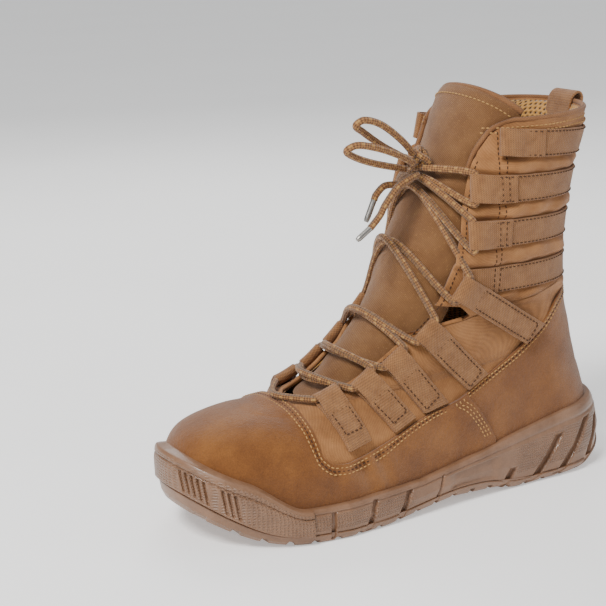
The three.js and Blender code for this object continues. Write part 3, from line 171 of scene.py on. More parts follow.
def footbed(x):
    at = x / FOOT_LENGTH
    lift = np.interp(at, SOLE_ROWS[:, 0], SOLE_ROWS[:, 1])
    toe = np.maximum(0, TOE_SPRING * smooth(UNDER_ROWS, at, 1))
    return toe * 0.9 + BALL_THICKNESS + (HEEL_THICKNESS - BALL_THICKNESS) * lift


def closing(distance, length):
    """Rounded end of a row: 0 at its end, 1 where the full width is reached."""
    rest = 1 - np.clip(distance / length, 0, 1)
    return (1 - rest ** 2.15) ** (1 / 2.15)


def last_point(v, a):
    """Row v and angle a to a point: the cosine of a runs from the row's front to its back, the half
    width comes from three stations and closes round at both ends, the height follows the row."""
    v, a = np.broadcast_arrays(np.asarray(v, float), np.asarray(a, float))
    a = np.mod(a, 2 * np.pi)
    s = (1 - np.cos(a)) / 2
    front, back = row(v, "front") * FOOT_LENGTH, row(v, "back") * FOOT_LENGTH
    x = front + (back - front) * s
    at = np.clip(x / FOOT_LENGTH, -0.21, 0.335)
    h0, h1, h2 = row(v, "ball"), row(v, "waist"), row(v, "heel")
    first = at <= 0.055
    k0, k1 = np.where(first, -0.21, 0.055), np.where(first, 0.055, 0.335)
    c0, c1 = np.where(first, h0, h1), np.where(first, h1, h2)
    m0 = np.where(first, (h1 - h0) / 0.265, (h2 - h0) / 0.545)
    m1 = np.where(first, (h2 - h0) / 0.545, (h2 - h1) / 0.28)
    span = k1 - k0
    t = (at - k0) / span
    t2, t3 = t * t, t ** 3
    half = ((2 * t3 - 3 * t2 + 1) * c0 + (t3 - 2 * t2 + t) * span * m0 + (3 * t2 - 2 * t3) * c1
            + (t3 - t2) * span * m1) * (BALL_WIDTH + (COLLAR_WIDTH - BALL_WIDTH) * np.clip(v, 0, 1))
    closed = closing(x - front, row(v, "nose") * FOOT_LENGTH) * closing(back - x, row(v, "seat") * FOOT_LENGTH)
    middle = smooth(CURVE_ROWS, x / FOOT_LENGTH, 1) * LAST_CURVE * (1 - step(v, 0.1, 0.5))
    up = np.maximum(v, RIM_ROW)
    high = (height_of(row(up, "frontZ")) * (1 - s) + height_of(row(up, "backZ")) * s
            - row(up, "sag") * TOE_HEIGHT * 4 * s * (1 - s))
    low = footbed(x) + GAP
    z = low + (high - low) * np.minimum(v / RIM_ROW, 1)
    side = np.where(a < np.pi, -1.0, 1.0)
    return np.stack([x, middle + side * half * closed, z], -1)


def unit(p):
    return p / np.maximum(np.linalg.norm(p, axis=-1, keepdims=True), 1e-9)


def last_normal(v, a):
    v, a = np.broadcast_arrays(np.asarray(v, float), np.asarray(a, float))
    e = 0.004
    ahead = last_point(v, a + e) - last_point(v, a - e)
    up = last_point(v + e, a) - last_point(np.maximum(v - e, 0), a)
    return unit(np.cross(ahead, up))


def on_last(v, a, off):
    """The point of the last moved outwards along its normal."""
    return last_point(v, a) + last_normal(v, a) * np.asarray(off, float)[..., None]


def bisect(test, low, high, rounds=32):
    """The place between low and high where a test stops being true, for whole arrays."""
    for _ in range(rounds):
        middle = (low + high) / 2
        yes = test(middle)
        low, high = np.where(yes, middle, low), np.where(yes, high, middle)
    return (low + high) / 2


def angle_at(v, half):
    """Angle on the outer side where a row is this far from the middle line."""
    v, half = np.broadcast_arrays(np.asarray(v, float), np.asarray(half, float))
    return bisect(lambda a: np.abs(last_point(v, a)[..., 1]) < half,
                  np.full(v.shape, 0.01), np.full(v.shape, np.pi / 2))


def row_at_height(z, a):
    z, a = np.broadcast_arrays(np.asarray(z, float), np.asarray(a, float))
    return bisect(lambda v: last_point(v, a)[..., 2] < z, np.full(z.shape, 0.3), np.full(z.shape, 1.12))


def throat_half(v):
    return np.interp(v, THROAT_ROWS[:, 0], THROAT_ROWS[:, 1]) * COLLAR_WIDTH


def row_and_angle(x, z, side):
    """Row and angle on one side whose point stands at x and z, by repeated halving of both."""
    a = 1.5
    for _ in range(60):
        v = float(row_at_height(z, a))
        p = last_point(v, a)
        a = float(np.clip(a + np.clip((x - p[0]) / 130, -0.15, 0.15), 0.1, 3.0))
    return v, a if side < 0 else 2 * np.pi - a


def angle_at_x(x, z, side):
    z, x = np.broadcast_arrays(np.asarray(z, float), np.asarray(x, float))
    a = bisect(lambda t: last_point(row_at_height(z, t), t)[..., 0] < x,
               np.full(z.shape, 0.3), np.full(z.shape, 3.09))
    return a if side < 0 else 2 * np.pi - a


# ---------------------------------------------------------------- meshes
def make(name, points, faces, material, uv=None, smooth_shade=True, attribute=None):
    """A mesh object from whole arrays: points in millimetres, quads, and one UV per point."""
    mesh = bpy.data.meshes.new(name)
    points = (np.asarray(points, float).reshape(-1, 3) + SHIFT) * MM
    faces = np.asarray(faces, np.int32).reshape(-1, 4)
    mesh.vertices.add(len(points))
    mesh.vertices.foreach_set("co", points.ravel())
    mesh.loops.add(faces.size)
    mesh.loops.foreach_set("vertex_index", faces.ravel())
    mesh.polygons.add(len(faces))
    mesh.polygons.foreach_set("loop_start", np.arange(0, faces.size, 4, dtype=np.int32))
    mesh.update(calc_edges=True)
    if uv is not None:
        layer = mesh.uv_layers.new(name="UVMap")
        layer.data.foreach_set("uv", np.asarray(uv, float).reshape(-1, 2)[faces.ravel()].ravel())
    if attribute is not None:
        data = mesh.attributes.new(attribute[0], "FLOAT", "POINT")
        data.data.foreach_set("value", np.asarray(attribute[1], float).ravel())
    mesh.polygons.foreach_set("use_smooth", np.full(len(faces), smooth_shade))
    mesh.validate()
    obj = bpy.data.objects.new(name, mesh)
    bpy.context.collection.objects.link(obj)
    mesh.materials.append(material)
    return obj


def quads(m, n, wrap_m=False, wrap_n=False):
    """Quads of an m by n grid of points, wrapped round in either direction."""
    i = np.arange(m if wrap_m else m - 1)
    j = np.arange(n if wrap_n else n - 1)
    i, j = np.meshgrid(i, j, indexing="ij")
    i2, j2 = (i + 1) % m, (j + 1) % n
    return np.stack([i * n + j, i2 * n + j, i2 * n + j2, i * n + j2], -1).reshape(-1, 4)


def lengths(p, axis):
    """Distance gone along one direction of a grid of points, from its first line."""
    d = np.linalg.norm(np.diff(p, axis=axis), axis=-1)
    zero = np.zeros_like(np.take(d, [0], axis=axis))
    return np.cumsum(np.concatenate([zero, d], axis=axis), axis=axis)


def grid(name, p, material, outward=True, wrap_m=False, wrap_n=False, attribute=None):
    """A grid of points as a surface, with a UV map in millimetres gone along it each way."""
    m, n = p.shape[:2]
    uv = np.stack([lengths(p, 0), lengths(p, 1)], -1)
    faces = quads(m, n, wrap_m, wrap_n)
    if not outward:
        faces = faces[:, ::-1]
    return make(name, p, faces, material, uv, attribute=attribute)


def thicken(obj, thickness, offset=-1.0, bevel=0.0):
    wall = obj.modifiers.new("wall", "SOLIDIFY")
    wall.thickness = thickness * MM
    wall.offset = offset
    if bevel:
        edge = obj.modifiers.new("edge", "BEVEL")
        edge.width = bevel * MM
        edge.segments = 2
        edge.limit_method = "ANGLE"
        edge.angle_limit = math.radians(50)
    return obj


def put(obj, *nodes, slot=None):
    """The piece rides on the boot and stands for the CAD nodes named."""
    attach(obj, BOOT)
    if nodes:
        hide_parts(*nodes)
    return obj


def spline(points, count):
    """Smooth line through points, evenly spaced: cubic in the distance gone between them."""
    p = np.asarray(points, float)
    t = np.concatenate([[0], np.cumsum(np.linalg.norm(np.diff(p, axis=0), axis=1) ** 0.75)])
    table = np.column_stack([t, p])
    fine = np.linspace(0, t[-1], count * 8)
    q = np.stack([smooth(table, fine, c + 1) for c in range(p.shape[1])], -1)
    gone = np.concatenate([[0], np.cumsum(np.linalg.norm(np.diff(q, axis=0), axis=1))])
    want = np.linspace(0, gone[-1], count)
    return np.stack([np.interp(want, gone, q[:, c]) for c in range(p.shape[1])], -1)


def frames(path):
    """Tangent, normal and binormal along a line, the normal carried along without turning."""
    t = unit(np.gradient(path, axis=0))
    n = np.zeros_like(t)
    start = np.array([0.0, 0.0, 1.0]) if abs(t[0, 2]) < 0.9 else np.array([1.0, 0.0, 0.0])
    n[0] = unit(np.cross(np.cross(t[0], start), t[0]))
    for i in range(1, len(t)):
        n[i] = n[i - 1] - t[i] * np.dot(n[i - 1], t[i])
        n[i] /= np.linalg.norm(n[i])
    return t, n, np.cross(t, n)


def tube_grid(path, radius, around):
    """Rings of a round tube along a line, with its two ends drawn to a point."""
    _, n, b = frames(path)
    a = np.linspace(0, 2 * np.pi, around, endpoint=False)
    r = np.broadcast_to(np.asarray(radius, float), (len(path),))[:, None, None]
    p = path[:, None] + r * (n[:, None] * np.cos(a)[None, :, None] + b[:, None] * np.sin(a)[None, :, None])
    ends = [np.repeat(path[i][None, None], around, 1) for i in (0, -1)]
    return np.concatenate([ends[0], p, ends[1]], 0)


def tube(name, path, radius, around, material):
    p = tube_grid(path, radius, around)
    m, n = p.shape[:2]
    gone = np.concatenate([[0], lengths(path[:, None], 0)[:, 0], [0]])
    gone[-1] = gone[-2]
    mean = float(np.mean(radius))
    uv = np.stack(np.broadcast_arrays(gone[:, None], np.linspace(0, 2 * np.pi * mean, n)[None, :]), -1)
    obj = make(name, p, quads(m, n, wrap_n=True)[:, ::-1], material, uv)
    weld = obj.modifiers.new("weld", "WELD")
    weld.merge_threshold = 0.00002
    return obj


def stitches(name, lines, material, pitch=2.9, length=2.1, radius=0.42, sink=0.1):
    """One short rounded thread for each stitch along lines of (points, normals, spacing shift)."""
    spots = []
    for path, normal in lines:
        gone = np.concatenate([[0], np.cumsum(np.linalg.norm(np.diff(path, axis=0), axis=1))])
        count = max(2, int(gone[-1] / pitch))
        want = (np.arange(count) + 0.5) * gone[-1] / count
        p = np.stack([np.interp(want, gone, path[:, c]) for c in range(3)], -1)
        n = unit(np.stack([np.interp(want, gone, normal[:, c]) for c in range(3)], -1))
        q = np.stack([np.interp(want + 0.3, gone, path[:, c]) for c in range(3)], -1)
        o = np.stack([np.interp(want - 0.3, gone, path[:, c]) for c in range(3)], -1)
        t = unit(q - o)
        spots.append((p, n, t))
    p, n, t = (np.concatenate([s[k] for s in spots]) for k in range(3))
    b = unit(np.cross(n, t))
    along = np.array([-0.5, -0.36, 0.0, 0.36, 0.5]) * length
    size = np.array([0.15, 0.75, 1.0, 0.75, 0.15]) * radius
    drop = np.array([-0.45, -0.05, 0.1, -0.05, -0.45]) * radius - sink * radius
    a = np.linspace(0, 2 * np.pi, 6, endpoint=False)
    ring = (t[:, None, None] * along[None, :, None, None]
            + n[:, None, None] * (drop[:, None] + size[:, None] * np.sin(a))[None, :, :, None]
            + b[:, None, None] * (size[:, None] * np.cos(a))[None, :, :, None]) + p[:, None, None]
    faces = quads(5, 6, wrap_n=True)
    every = (faces[None] + 30 * np.arange(len(p))[:, None, None]).reshape(-1, 4)
    return make(name, ring.reshape(-1, 3), every, material)


def curve_on(v, a, off):
    """Points and normals along a line on the last."""
    return on_last(v, a, np.broadcast_to(off, np.shape(v))), last_normal(v, a)


# ---------------------------------------------------------------- materials
def srgb(code):
    """An sRGB hex value as linear red, green, blue and full alpha."""
    c = np.array([int(code[i:i + 2], 16) for i in (0, 2, 4)]) / 255
    return tuple(np.where(c <= 0.04045, c / 12.92, ((c + 0.055) / 1.055) ** 2.4)) + (1.0,)


class Shader:
    """A material's node tree, with its Principled shader and the coordinates in millimetres."""

    def __init__(self, name, rough, metallic=0.0, sheen=0.0, specular=0.5, coat=0.0):
        self.material = bpy.data.materials.new(name)
        self.material.use_nodes = True
        self.nodes = self.material.node_tree.nodes
        self.links = self.material.node_tree.links
        self.out = self.nodes["Principled BSDF"]
        self.out.inputs["Roughness"].default_value = rough
        self.out.inputs["Metallic"].default_value = metallic
        self.out.inputs["Sheen Weight"].default_value = sheen
        self.out.inputs["Sheen Roughness"].default_value = 0.5
        self.out.inputs["Specular IOR Level"].default_value = specular
        self.out.inputs["Coat Weight"].default_value = coat

    def add(self, kind, links=None, **settings):
        """One node with its settings; links maps inputs to sockets or constant values."""
        node = self.nodes.new(kind)
        for key, value in settings.items():
            setattr(node, key, value)
        for key, value in (links or {}).items():
            if isinstance(value, bpy.types.NodeSocket):
                self.links.new(value, node.inputs[key])
            else:
                node.inputs[key].default_value = value
        return node

    def math(self, operation, a, b=0.0):
        return self.add("ShaderNodeMath", {0: a, 1: b}, operation=operation).outputs[0]

    def place(self):
        """Object coordinates in millimetres."""
        where = self.add("ShaderNodeTexCoord").outputs["Object"]
        return self.add("ShaderNodeVectorMath", {0: where, "Scale": 1000.0}, operation="SCALE").outputs[0]

    def cloth(self):
        """The two distances along the piece, in millimetres, from its own UV map."""
        where = self.add("ShaderNodeTexCoord").outputs["UV"]
        parts = self.add("ShaderNodeSeparateXYZ", {0: where})
        return parts.outputs[0], parts.outputs[1]

    def noise(self, where, size, detail=4.0, rough=0.55):
        """Cloudy variation whose patches are about this many millimetres wide."""
        return self.add("ShaderNodeTexNoise", {"Vector": where, "Scale": 1.0 / size, "Detail": detail,
                                                "Roughness": rough}).outputs["Fac"]

    def wave(self, along, pitch, phase=0.0):
        """Sine of a distance, from -1 to 1, once in each pitch."""
        turned = self.math("MULTIPLY_ADD", along, 2 * math.pi / pitch)
        self.nodes[-1].inputs[2].default_value = phase
        return self.math("SINE", turned)

    def ramp(self, value, *stops):
        """Colours at shares of a value."""
        node = self.add("ShaderNodeValToRGB", {0: value})
        ramp = node.color_ramp
        while len(ramp.elements) < len(stops):
            ramp.elements.new(0.5)
        for element, (at, code) in zip(ramp.elements, stops):
            element.position = at
            element.color = srgb(code)
        return node.outputs[0]

    def mix(self, share, a, b, blend="MIX"):
        node = self.add("ShaderNodeMix", {0: share}, data_type="RGBA", blend_type=blend)
        for socket, value in ((node.inputs[6], a), (node.inputs[7], b)):
            if isinstance(value, bpy.types.NodeSocket):
                self.links.new(value, socket)
            else:
                socket.default_value = value
        return node.outputs[2]

    def color(self, socket):
        self.links.new(socket, self.out.inputs["Base Color"])

    def bump(self, *layers):
        """Relief from (height, depth in millimetres) pairs, one over the other."""
        normal = None
        for height, depth in layers:
            links = {"Height": height, "Distance": depth * MM, "Strength": 1.0}
            if normal is not None:
                links["Normal"] = normal
            normal = self.add("ShaderNodeBump", links).outputs[0]
        self.links.new(normal, self.out.inputs["Normal"])


def suede_material(name, dark, mid, light):
    """Nubuck: brushed fibre ends, so no gloss, a soft sheen and cloudy light and dark strokes."""
    s = Shader(name, 0.92, sheen=0.35, specular=0.2)
    at = s.place()
    clouds = s.noise(at, 30.0, 6.0, 0.65)
    grain = s.noise(at, 0.7, 3.0, 0.7)
    pores = s.noise(at, 2.2, 4.0, 0.65)
    base = s.ramp(clouds, (0.3, dark), (0.5, mid), (0.72, light))
    fleck = s.ramp(grain, (0.35, "8a8a8a"), (0.65, "ffffff"))
    s.color(s.mix(0.38, base, fleck, "MULTIPLY"))
    s.bump((pores, 0.4), (grain, 0.3))
    return s.material


def woven(name, dark, light, pitch, depth, diagonal=False, flecks=None, rough=0.8, contrast=0.3):
    """Woven cloth: crossing threads at a real pitch, with slight differences between threads."""
    s = Shader(name, rough, sheen=0.15, specular=0.3)
    u, v = s.cloth()
    if diagonal:
        lines = s.wave(s.math("ADD", u, v), pitch)
        cross = s.wave(s.math("SUBTRACT", u, v), pitch * 0.45)
        height = s.math("ADD", lines, s.math("MULTIPLY", cross, 0.35))
    else:
        height = s.math("MULTIPLY", s.wave(u, 2 * pitch), s.wave(v, 2 * pitch))
    at = s.place()
    clouds = s.noise(at, 16.0, 4.0, 0.6)
    thread = s.noise(at, 0.9, 2.0, 0.7)
    base = s.ramp(clouds, (0.3, dark), (0.7, light))
    weave = s.ramp(s.math("MULTIPLY_ADD", height, 0.5), (0.1, "6f6f6f"), (0.9, "ffffff"))
    shaded = s.mix(contrast, base, weave, "MULTIPLY")
    if flecks:
        spot = s.math("GREATER_THAN", thread, 0.64)
        shaded = s.mix(s.math("MULTIPLY", spot, 0.55), shaded, srgb(flecks))
    s.color(shaded)
    s.bump((height, depth), (thread, depth * 0.5))
    return s.material


def webbing_material(name, dark, light):
    """Flat woven webbing: close ribs across it and fine threads along it."""
    s = Shader(name, 0.78, sheen=0.2, specular=0.3)
    u, v = s.cloth()
    ribs = s.wave(u, 1.5)
    threads = s.wave(v, 1.1)
    at = s.place()
    clouds = s.noise(at, 7.0, 5.0, 0.7)
    fine = s.noise(at, 1.1, 3.0, 0.75)
    height = s.math("ADD", s.math("MULTIPLY", ribs, 0.25),
                    s.math("MULTIPLY", threads, s.math("MULTIPLY", ribs, 0.75)))
    base = s.ramp(clouds, (0.3, dark), (0.7, light))
    weave = s.ramp(s.math("MULTIPLY_ADD", height, 0.5), (0.05, "707070"), (0.9, "ffffff"))
    s.color(s.mix(0.75, base, weave, "MULTIPLY"))
    s.bump((height, 0.22), (fine, 0.35))
    return s.material


def mesh_cloth(name, body, hole, pitch, share):
    """Spacer mesh: round holes in a honeycomb, from three waves at 120 degrees."""
    s = Shader(name, 0.85, sheen=0.3, specular=0.25)
    u, v = s.cloth()
    total = None
    for turn in (0.0, 2 * math.pi / 3, 4 * math.pi / 3):
        way = s.math("ADD", s.math("MULTIPLY", u, math.cos(turn)), s.math("MULTIPLY", v, math.sin(turn)))
        one = s.wave(way, pitch, math.pi / 2)
        total = one if total is None else s.math("ADD", total, one)
    inside = s.math("GREATER_THAN", total, share)
    at = s.place()
    base = s.ramp(s.noise(at, 8.0), (0.3, body), (0.75, "c8924c"))
    s.color(s.mix(inside, base, srgb(hole)))
    s.bump((s.math("MULTIPLY", total, -1.0), 0.3), (s.noise(at, 0.8), 0.15))
    return s.material


def rubber_material(name, dark, light):
    """Moulded rubber: a soft gloss, faint clouding, fine dust flecks, and a cut square
    hatch where the mesh's own attribute asks for it."""
    s = Shader(name, 0.45, specular=0.5, coat=0.12)
    at = s.place()
    parts = s.add("ShaderNodeSeparateXYZ", {0: at})
    clouds = s.noise(at, 14.0, 5.0, 0.6)
    fine = s.noise(at, 0.9, 3.0, 0.6)
    base = s.ramp(clouds, (0.3, dark), (0.7, light))
    fleck = s.ramp(fine, (0.3, "b0b0b0"), (0.7, "ffffff"))
    hatch = s.add("ShaderNodeAttribute", attribute_name="hatch").outputs["Fac"]
    along = s.math("ADD", parts.outputs[0], s.math("MULTIPLY", parts.outputs[1], 0.6))
    lines = s.math("MAXIMUM", s.wave(along, 1.7), s.wave(parts.outputs[2], 1.7))
    cut = s.math("MULTIPLY", lines, hatch)
    s.color(s.mix(0.3, base, fleck, "MULTIPLY"))
    s.bump((cut, 0.3), (fine, 0.08))
    rough = s.math("MULTIPLY_ADD", clouds, 0.3)
    s.nodes[-1].inputs[2].default_value = 0.27
    s.links.new(rough, s.out.inputs["Roughness"])
    return s.material


def braid_material(name, dark, light, tracer):
    """Round braided lace: two sets of threads winding opposite ways, with golden tracer flecks."""
    s = Shader(name, 0.7, sheen=0.2, specular=0.35)
    u, v = s.cloth()
    pitch = math.pi * LACE / 4
    one = s.wave(s.math("ADD", u, v), pitch)
    two = s.wave(s.math("SUBTRACT", u, v), pitch)
    height = s.math("MULTIPLY", one, two)
    base = s.ramp(s.math("MULTIPLY_ADD", height, 0.5), (0.05, dark), (0.85, light))
    beat = s.math("MULTIPLY", s.wave(u, pitch * 2), s.wave(v, pitch * 2))
    dot = s.math("GREATER_THAN", beat, 0.62)
    s.color(s.mix(s.math("MULTIPLY", dot, 0.5), base, srgb(tracer)))
    s.bump((height, 0.25), (s.noise(s.place(), 0.6), 0.08))
    return s.material


def metal_material(name, code, rough, dirt="3a3028"):
    """Worn plated metal: fine scratches and darker dirt in cloudy patches."""
    s = Shader(name, rough, metallic=1.0)
    at = s.place()
    clouds = s.noise(at, 5.0, 5.0, 0.6)
    s.color(s.mix(s.ramp(clouds, (0.55, "000000"), (0.8, "8a8a8a")), srgb(code), srgb(dirt)))
    s.bump((s.noise(at, 0.5), 0.05))
    return s.material


def plain_material(name, code, rough=0.8):
    s = Shader(name, rough, specular=0.3)
    at = s.place()
    s.color(s.mix(s.noise(at, 1.2), srgb(code), tuple(0.72 * c for c in srgb(code)[:3]) + (1.0,)))
    s.bump((s.noise(at, 0.5), 0.05))
    return s.material


SUEDE_MAT = suede_material("nubuck_leather_brushed", "6e411b", "7f4e22", "945f2c")
FABRIC_MAT = woven("coated_nylon_canvas", "8e5d32", "b07a4a", 0.8, 0.07, flecks="a77b46")
TWILL_MAT = woven("twill_nylon", "83552c", "9b6c3f", 1.5, 0.16, contrast=0.6, diagonal=True, flecks="a87f4c")
WEBBING_MAT = webbing_material("woven_webbing", "946338", "b37e4e")
LINING_MAT = mesh_cloth("spacer_mesh_lining", "b0803f", "4b2f18", 3.4, 1.6)
RUBBER_MAT = rubber_material("moulded_rubber", "76543b", "8e694e")
BRAID_MAT = braid_material("braided_lace", "50311a", "a06f3e", "c79a55")
STEEL_MAT = metal_material("nickel_plated_steel", "9a9690", 0.38)
BRASS_MAT = metal_material("aged_brass", "a98550", 0.36)
GOLD_THREAD = plain_material("golden_thread", "c0935a")
# Dark thread; in the seam's groove row and along the strap edges its darkness also paints shade
DARK_THREAD_AND_PAINTED_SHADE = plain_material("dark_thread_and_painted_shade", "4a3020")
PIPING_MAT = woven("woven_binding_tape", "7a4f2c", "946640", 0.9, 0.1)

# ---------------------------------------------------------------- camera and light
AZIMUTH, ELEVATION, ROLL = math.radians(-29.89), math.radians(14.52), math.radians(-1.48)
DISTANCE, FOCAL_PIXELS, FRAME_PIXELS = 915.8, 1575.7, 606.0
TARGET = np.array([-64.2 + 8, 0.0, 127.0])


def build_camera():
    """The photo's camera: it looks at the target from an azimuth and elevation, then rolls."""
    back = np.array([math.sin(AZIMUTH) * math.cos(ELEVATION), -math.cos(AZIMUTH) * math.cos(ELEVATION),
                     math.sin(ELEVATION)])
    right = np.array([math.cos(AZIMUTH), math.sin(AZIMUTH), 0.0])
    up = np.cross(back, right)
    right2 = math.cos(ROLL) * right + math.sin(ROLL) * up
    up2 = -math.sin(ROLL) * right + math.cos(ROLL) * up
    data = bpy.data.cameras.new("camera")
    data.sensor_width = 36.0
    data.sensor_height = 36.0
    data.lens = FOCAL_PIXELS / FRAME_PIXELS * 36.0
    data.clip_start = 0.05
    camera = bpy.data.objects.new("camera", data)
    eye = (TARGET + SHIFT + back * DISTANCE) * MM
    turn = np.eye(4)
    turn[:3, 0], turn[:3, 1], turn[:3, 2], turn[:3, 3] = right2, up2, back, eye
    from mathutils import Matrix
    camera.matrix_world = Matrix(turn.tolist())
    bpy.context.collection.objects.link(camera)
    bpy.context.scene.camera = camera


def build_light(name, place, size, power, aim=(0.0, 0.0, 0.1)):
    from mathutils import Vector
    data = bpy.data.lights.new(name, "AREA")
    data.size = size
    data.energy = power
    light = bpy.data.objects.new(name, data)
    light.location = place
    light.rotation_euler = (Vector(aim) - Vector(place)).to_track_quat("-Z", "Y").to_euler()
    bpy.context.collection.objects.link(light)


def build_stage():
    world = bpy.data.worlds.new("studio")
    bpy.context.scene.world = world
    world.use_nodes = True
    sky = world.node_tree.nodes["Background"]
    sky.inputs[0].default_value = (0.95, 0.97, 1.0, 1.0)
    sky.inputs[1].default_value = 0.42
    build_light("key", (-1.1, -0.52, 1.5), 0.6, 40.0)
    build_light("fill", (1.1, -0.8, 0.8), 1.0, 3.5)
    build_light("rim", (0.3, 1.0, 1.0), 0.8, 8.0)
    floor = bpy.data.meshes.new("floor")
    size = 20.0
    floor.from_pydata([(-size, -size, 0), (size, -size, 0), (size, size, 0), (-size, size, 0)], [], [(0, 1, 2, 3)])
    pale = Shader("pale_paper_floor", 0.85, specular=0.2)
    pale.color(pale.ramp(pale.noise(pale.place(), 300.0), (0.4, "f3f2f0"), (0.6, "f6f5f3")))
    pale.out.inputs["Emission Color"].default_value = (1.0, 1.0, 1.0, 1.0)
    pale.out.inputs["Emission Strength"].default_value = 0.4
    floor.materials.append(pale.material)
    obj = bpy.data.objects.new("floor", floor)
    bpy.context.collection.objects.link(obj)


build_camera()
build_stage()

# ---------------------------------------------------------------- knot, bow and ends
BOWS = {
    "lace_bow_upper": [(15.5, -9.5, 208.5), (3, -14, 219), (-12, -17, 229), (-24, -18, 232.5), (-28, -16, 229.5),
                       (-21, -12, 225), (-5, -7, 215), (14.5, -4.5, 204.5)],
    "lace_bow_lower": [(13.5, -12, 203.5), (0, -17, 210), (-16, -20, 216), (-30, -20, 219), (-35, -17, 216),
                       (-28, -13, 211.5), (-12, -9, 205.5), (12.5, -5, 199)],
}
ENDS = {
    "lace_end_long": ([(16, -13, 196.5), (8, -15.5, 195), (0, -16, 191.5), (-9, -16, 181.6), (-12.5, -16, 176.1),
                       (-19.4, -16, 169.3)], "aglet_long", [(-18.6, -16, 169.9), (-28.4, -16, 163.4)]),
    "lace_end_short": ([(16, -6.5, 193), (7, -8.5, 191), (-4.4, -9, 191.5), (-10.5, -9, 187), (-12, -9, 184)],
                       "aglet_short", [(-11.9, -9, 184.4), (-17.8, -9, 171.7)]),
}
KNOT = np.array([21.5, -6.0, 204.5])


def build_cords():
    """Bow loops, lace ends and their metal tips, each a tube along its own smooth line."""
    for name, points in BOWS.items():
        path = spline(points, 90)
        obj = put(tube(name + "_braid", path, LACE / 2, 14, BRAID_MAT), name, slot="cord")
    for name, (points, tip_name, tip_points) in ENDS.items():
        path = spline(points, 50)
        tip_path = spline([tip_points[0], np.mean(tip_points, 0), tip_points[1]], 24)
        radius = np.interp(np.linspace(0, 1, 24), [0, 0.1, 0.85, 1], [1.95, 1.8, 1.75, 1.3])
        tip = put(tube(tip_name + "_metal", tip_path, radius, 16, STEEL_MAT), tip_name, slot="steel")
        obj = put(tube(name + "_braid", path, LACE / 2, 14, BRAID_MAT), name, slot="cord")


def build_knot():
    """A tied knot: a short length wound over and under itself round the crossing."""
    turn = np.linspace(0, 2 * np.pi, 15)
    wound = KNOT + np.stack([3.8 * np.sin(turn * 2 + 0.4), 5.4 * np.cos(turn), 5.0 * np.sin(turn)], -1)
    wound = np.concatenate([wound[:-1], wound[:2]])
    band = KNOT + np.stack([3.8 * np.cos(turn), 2.8 * np.sin(turn * 2), 5.6 * np.sin(turn + 0.6)], -1)
    one = tube("lace_knot_tied", spline(wound, 110), LACE / 2, 14, BRAID_MAT)
    two = tube("lace_knot_wrap", spline(band, 90), LACE / 2, 14, BRAID_MAT)
    put(one, "lace_knot", slot="cord")
    put(two, slot="cord")


build_cords()
build_knot()


# ---------------------------------------------------------------- outlines shared by the pieces
AROUND = np.linspace(0, 2 * np.pi, 361)


def seam_height(x):
    """Height of the leather's top edge over a place along the boot, with none before the throat."""
    return np.where(x < SEAM_ROWS[0, 0] * FOOT_LENGTH, 1e4, height_of(smooth(SEAM_ROWS, x / FOOT_LENGTH, 1)))


def rear_edge(z):
    """Place of the vamp's rear edge at a height."""
    share = np.where(z <= TOE_HEIGHT, z / TOE_HEIGHT, 1 + (z - TOE_HEIGHT) / (COLLAR_HEIGHT - TOE_HEIGHT))
    return np.interp(share, VAMP_REAR[:, 0], VAMP_REAR[:, 1]) * FOOT_LENGTH


def under_seam(v, a):
    p = last_point(v, a)
    return p[..., 2] < seam_height(p[..., 0])


SEAM_ROW = bisect(lambda v: under_seam(v, AROUND), np.full(AROUND.shape, 0.12), np.full(AROUND.shape, 1.05))


def seam_row(a):
    """Row of the last at which the leather ends, for an angle."""
    return np.interp(np.mod(a, 2 * np.pi), AROUND, SEAM_ROW)


def rear_angle(t):
    """Angle of the vamp's rear edge at a share of the way up to the seam."""
    def before(a):
        p = last_point(t * seam_row(a), a)
        return p[..., 0] < rear_edge(p[..., 2])
    return bisect(before, np.full(np.shape(t), 0.4), np.full(np.shape(t), 2.7))


def ripple(p, size, depth):
    """Slight unevenness of a soft surface: a few crossed waves of a size, added up."""
    x, y, z = (p[..., i] / size for i in range(3))
    return depth * (np.sin(1.7 * x + 0.9 * z) * np.cos(1.3 * z - 0.6 * y) + 0.5 * np.sin(3.1 * x - 2.3 * z + 1.1 * y)
                    + 0.35 * np.cos(4.7 * z + 2.9 * x))


# Flex creases over the vamp: place along the boot, reach to the side, depth and width in millimetres
CREASES = ((-62.0, 30.0, 0.9, 4.5), (-47.0, 26.0, 0.6, 4.0), (-84.0, 34.0, 0.5, 5.0))


def vamp_relief(p):
    """Soft troughs across the vamp with a low ridge behind each, and the leather's slight unevenness."""
    x, z = p[..., 0], p[..., 2]
    d = ripple(p, 16.0, 0.22)
    for place, lean, depth, width in CREASES:
        line = place + (TOE_HEIGHT - z) * lean / 60.0
        q = (x - line) / width
        d = d - depth * np.exp(-q * q) + 0.6 * depth * np.exp(-((q - 1.7) ** 2))
    return d


def suede_sheet(name, a, t, off, node):
    """Leather laid on the last: columns by angle, rows by share of the way up to the seam."""
    v = t * seam_row(a)
    p, n = last_point(v, a), last_normal(v, a)
    p = p + n * (off + vamp_relief(p) * step(t, 0.1, 0.3) * (1 - step(t, 0.9, 1.0)))[..., None]
    obj = thicken(grid(name, p, SUEDE_MAT), SUEDE, -1.0, 0.3)
    return put(obj, node, slot="suede")


def build_suede():
    t = np.linspace(0.0, 1.0, 90)[None, :]
    reach = rear_angle(t[0])[None, :]
    s = np.linspace(-1, 1, 361)[:, None]
    over = 1.1 * step(np.abs(s), 0.9, 0.97)
    suede_sheet("vamp_nubuck", s * reach, np.broadcast_to(t, (361, 90)), 1.75 + over, "vamp")
    tuck = reach - 0.1
    s = np.linspace(0, 1, 321)[:, None]
    around = tuck + (2 * np.pi - 2 * tuck) * s
    suede_sheet("counter_nubuck", around, np.broadcast_to(t, (321, 90)), 1.7, "counter")


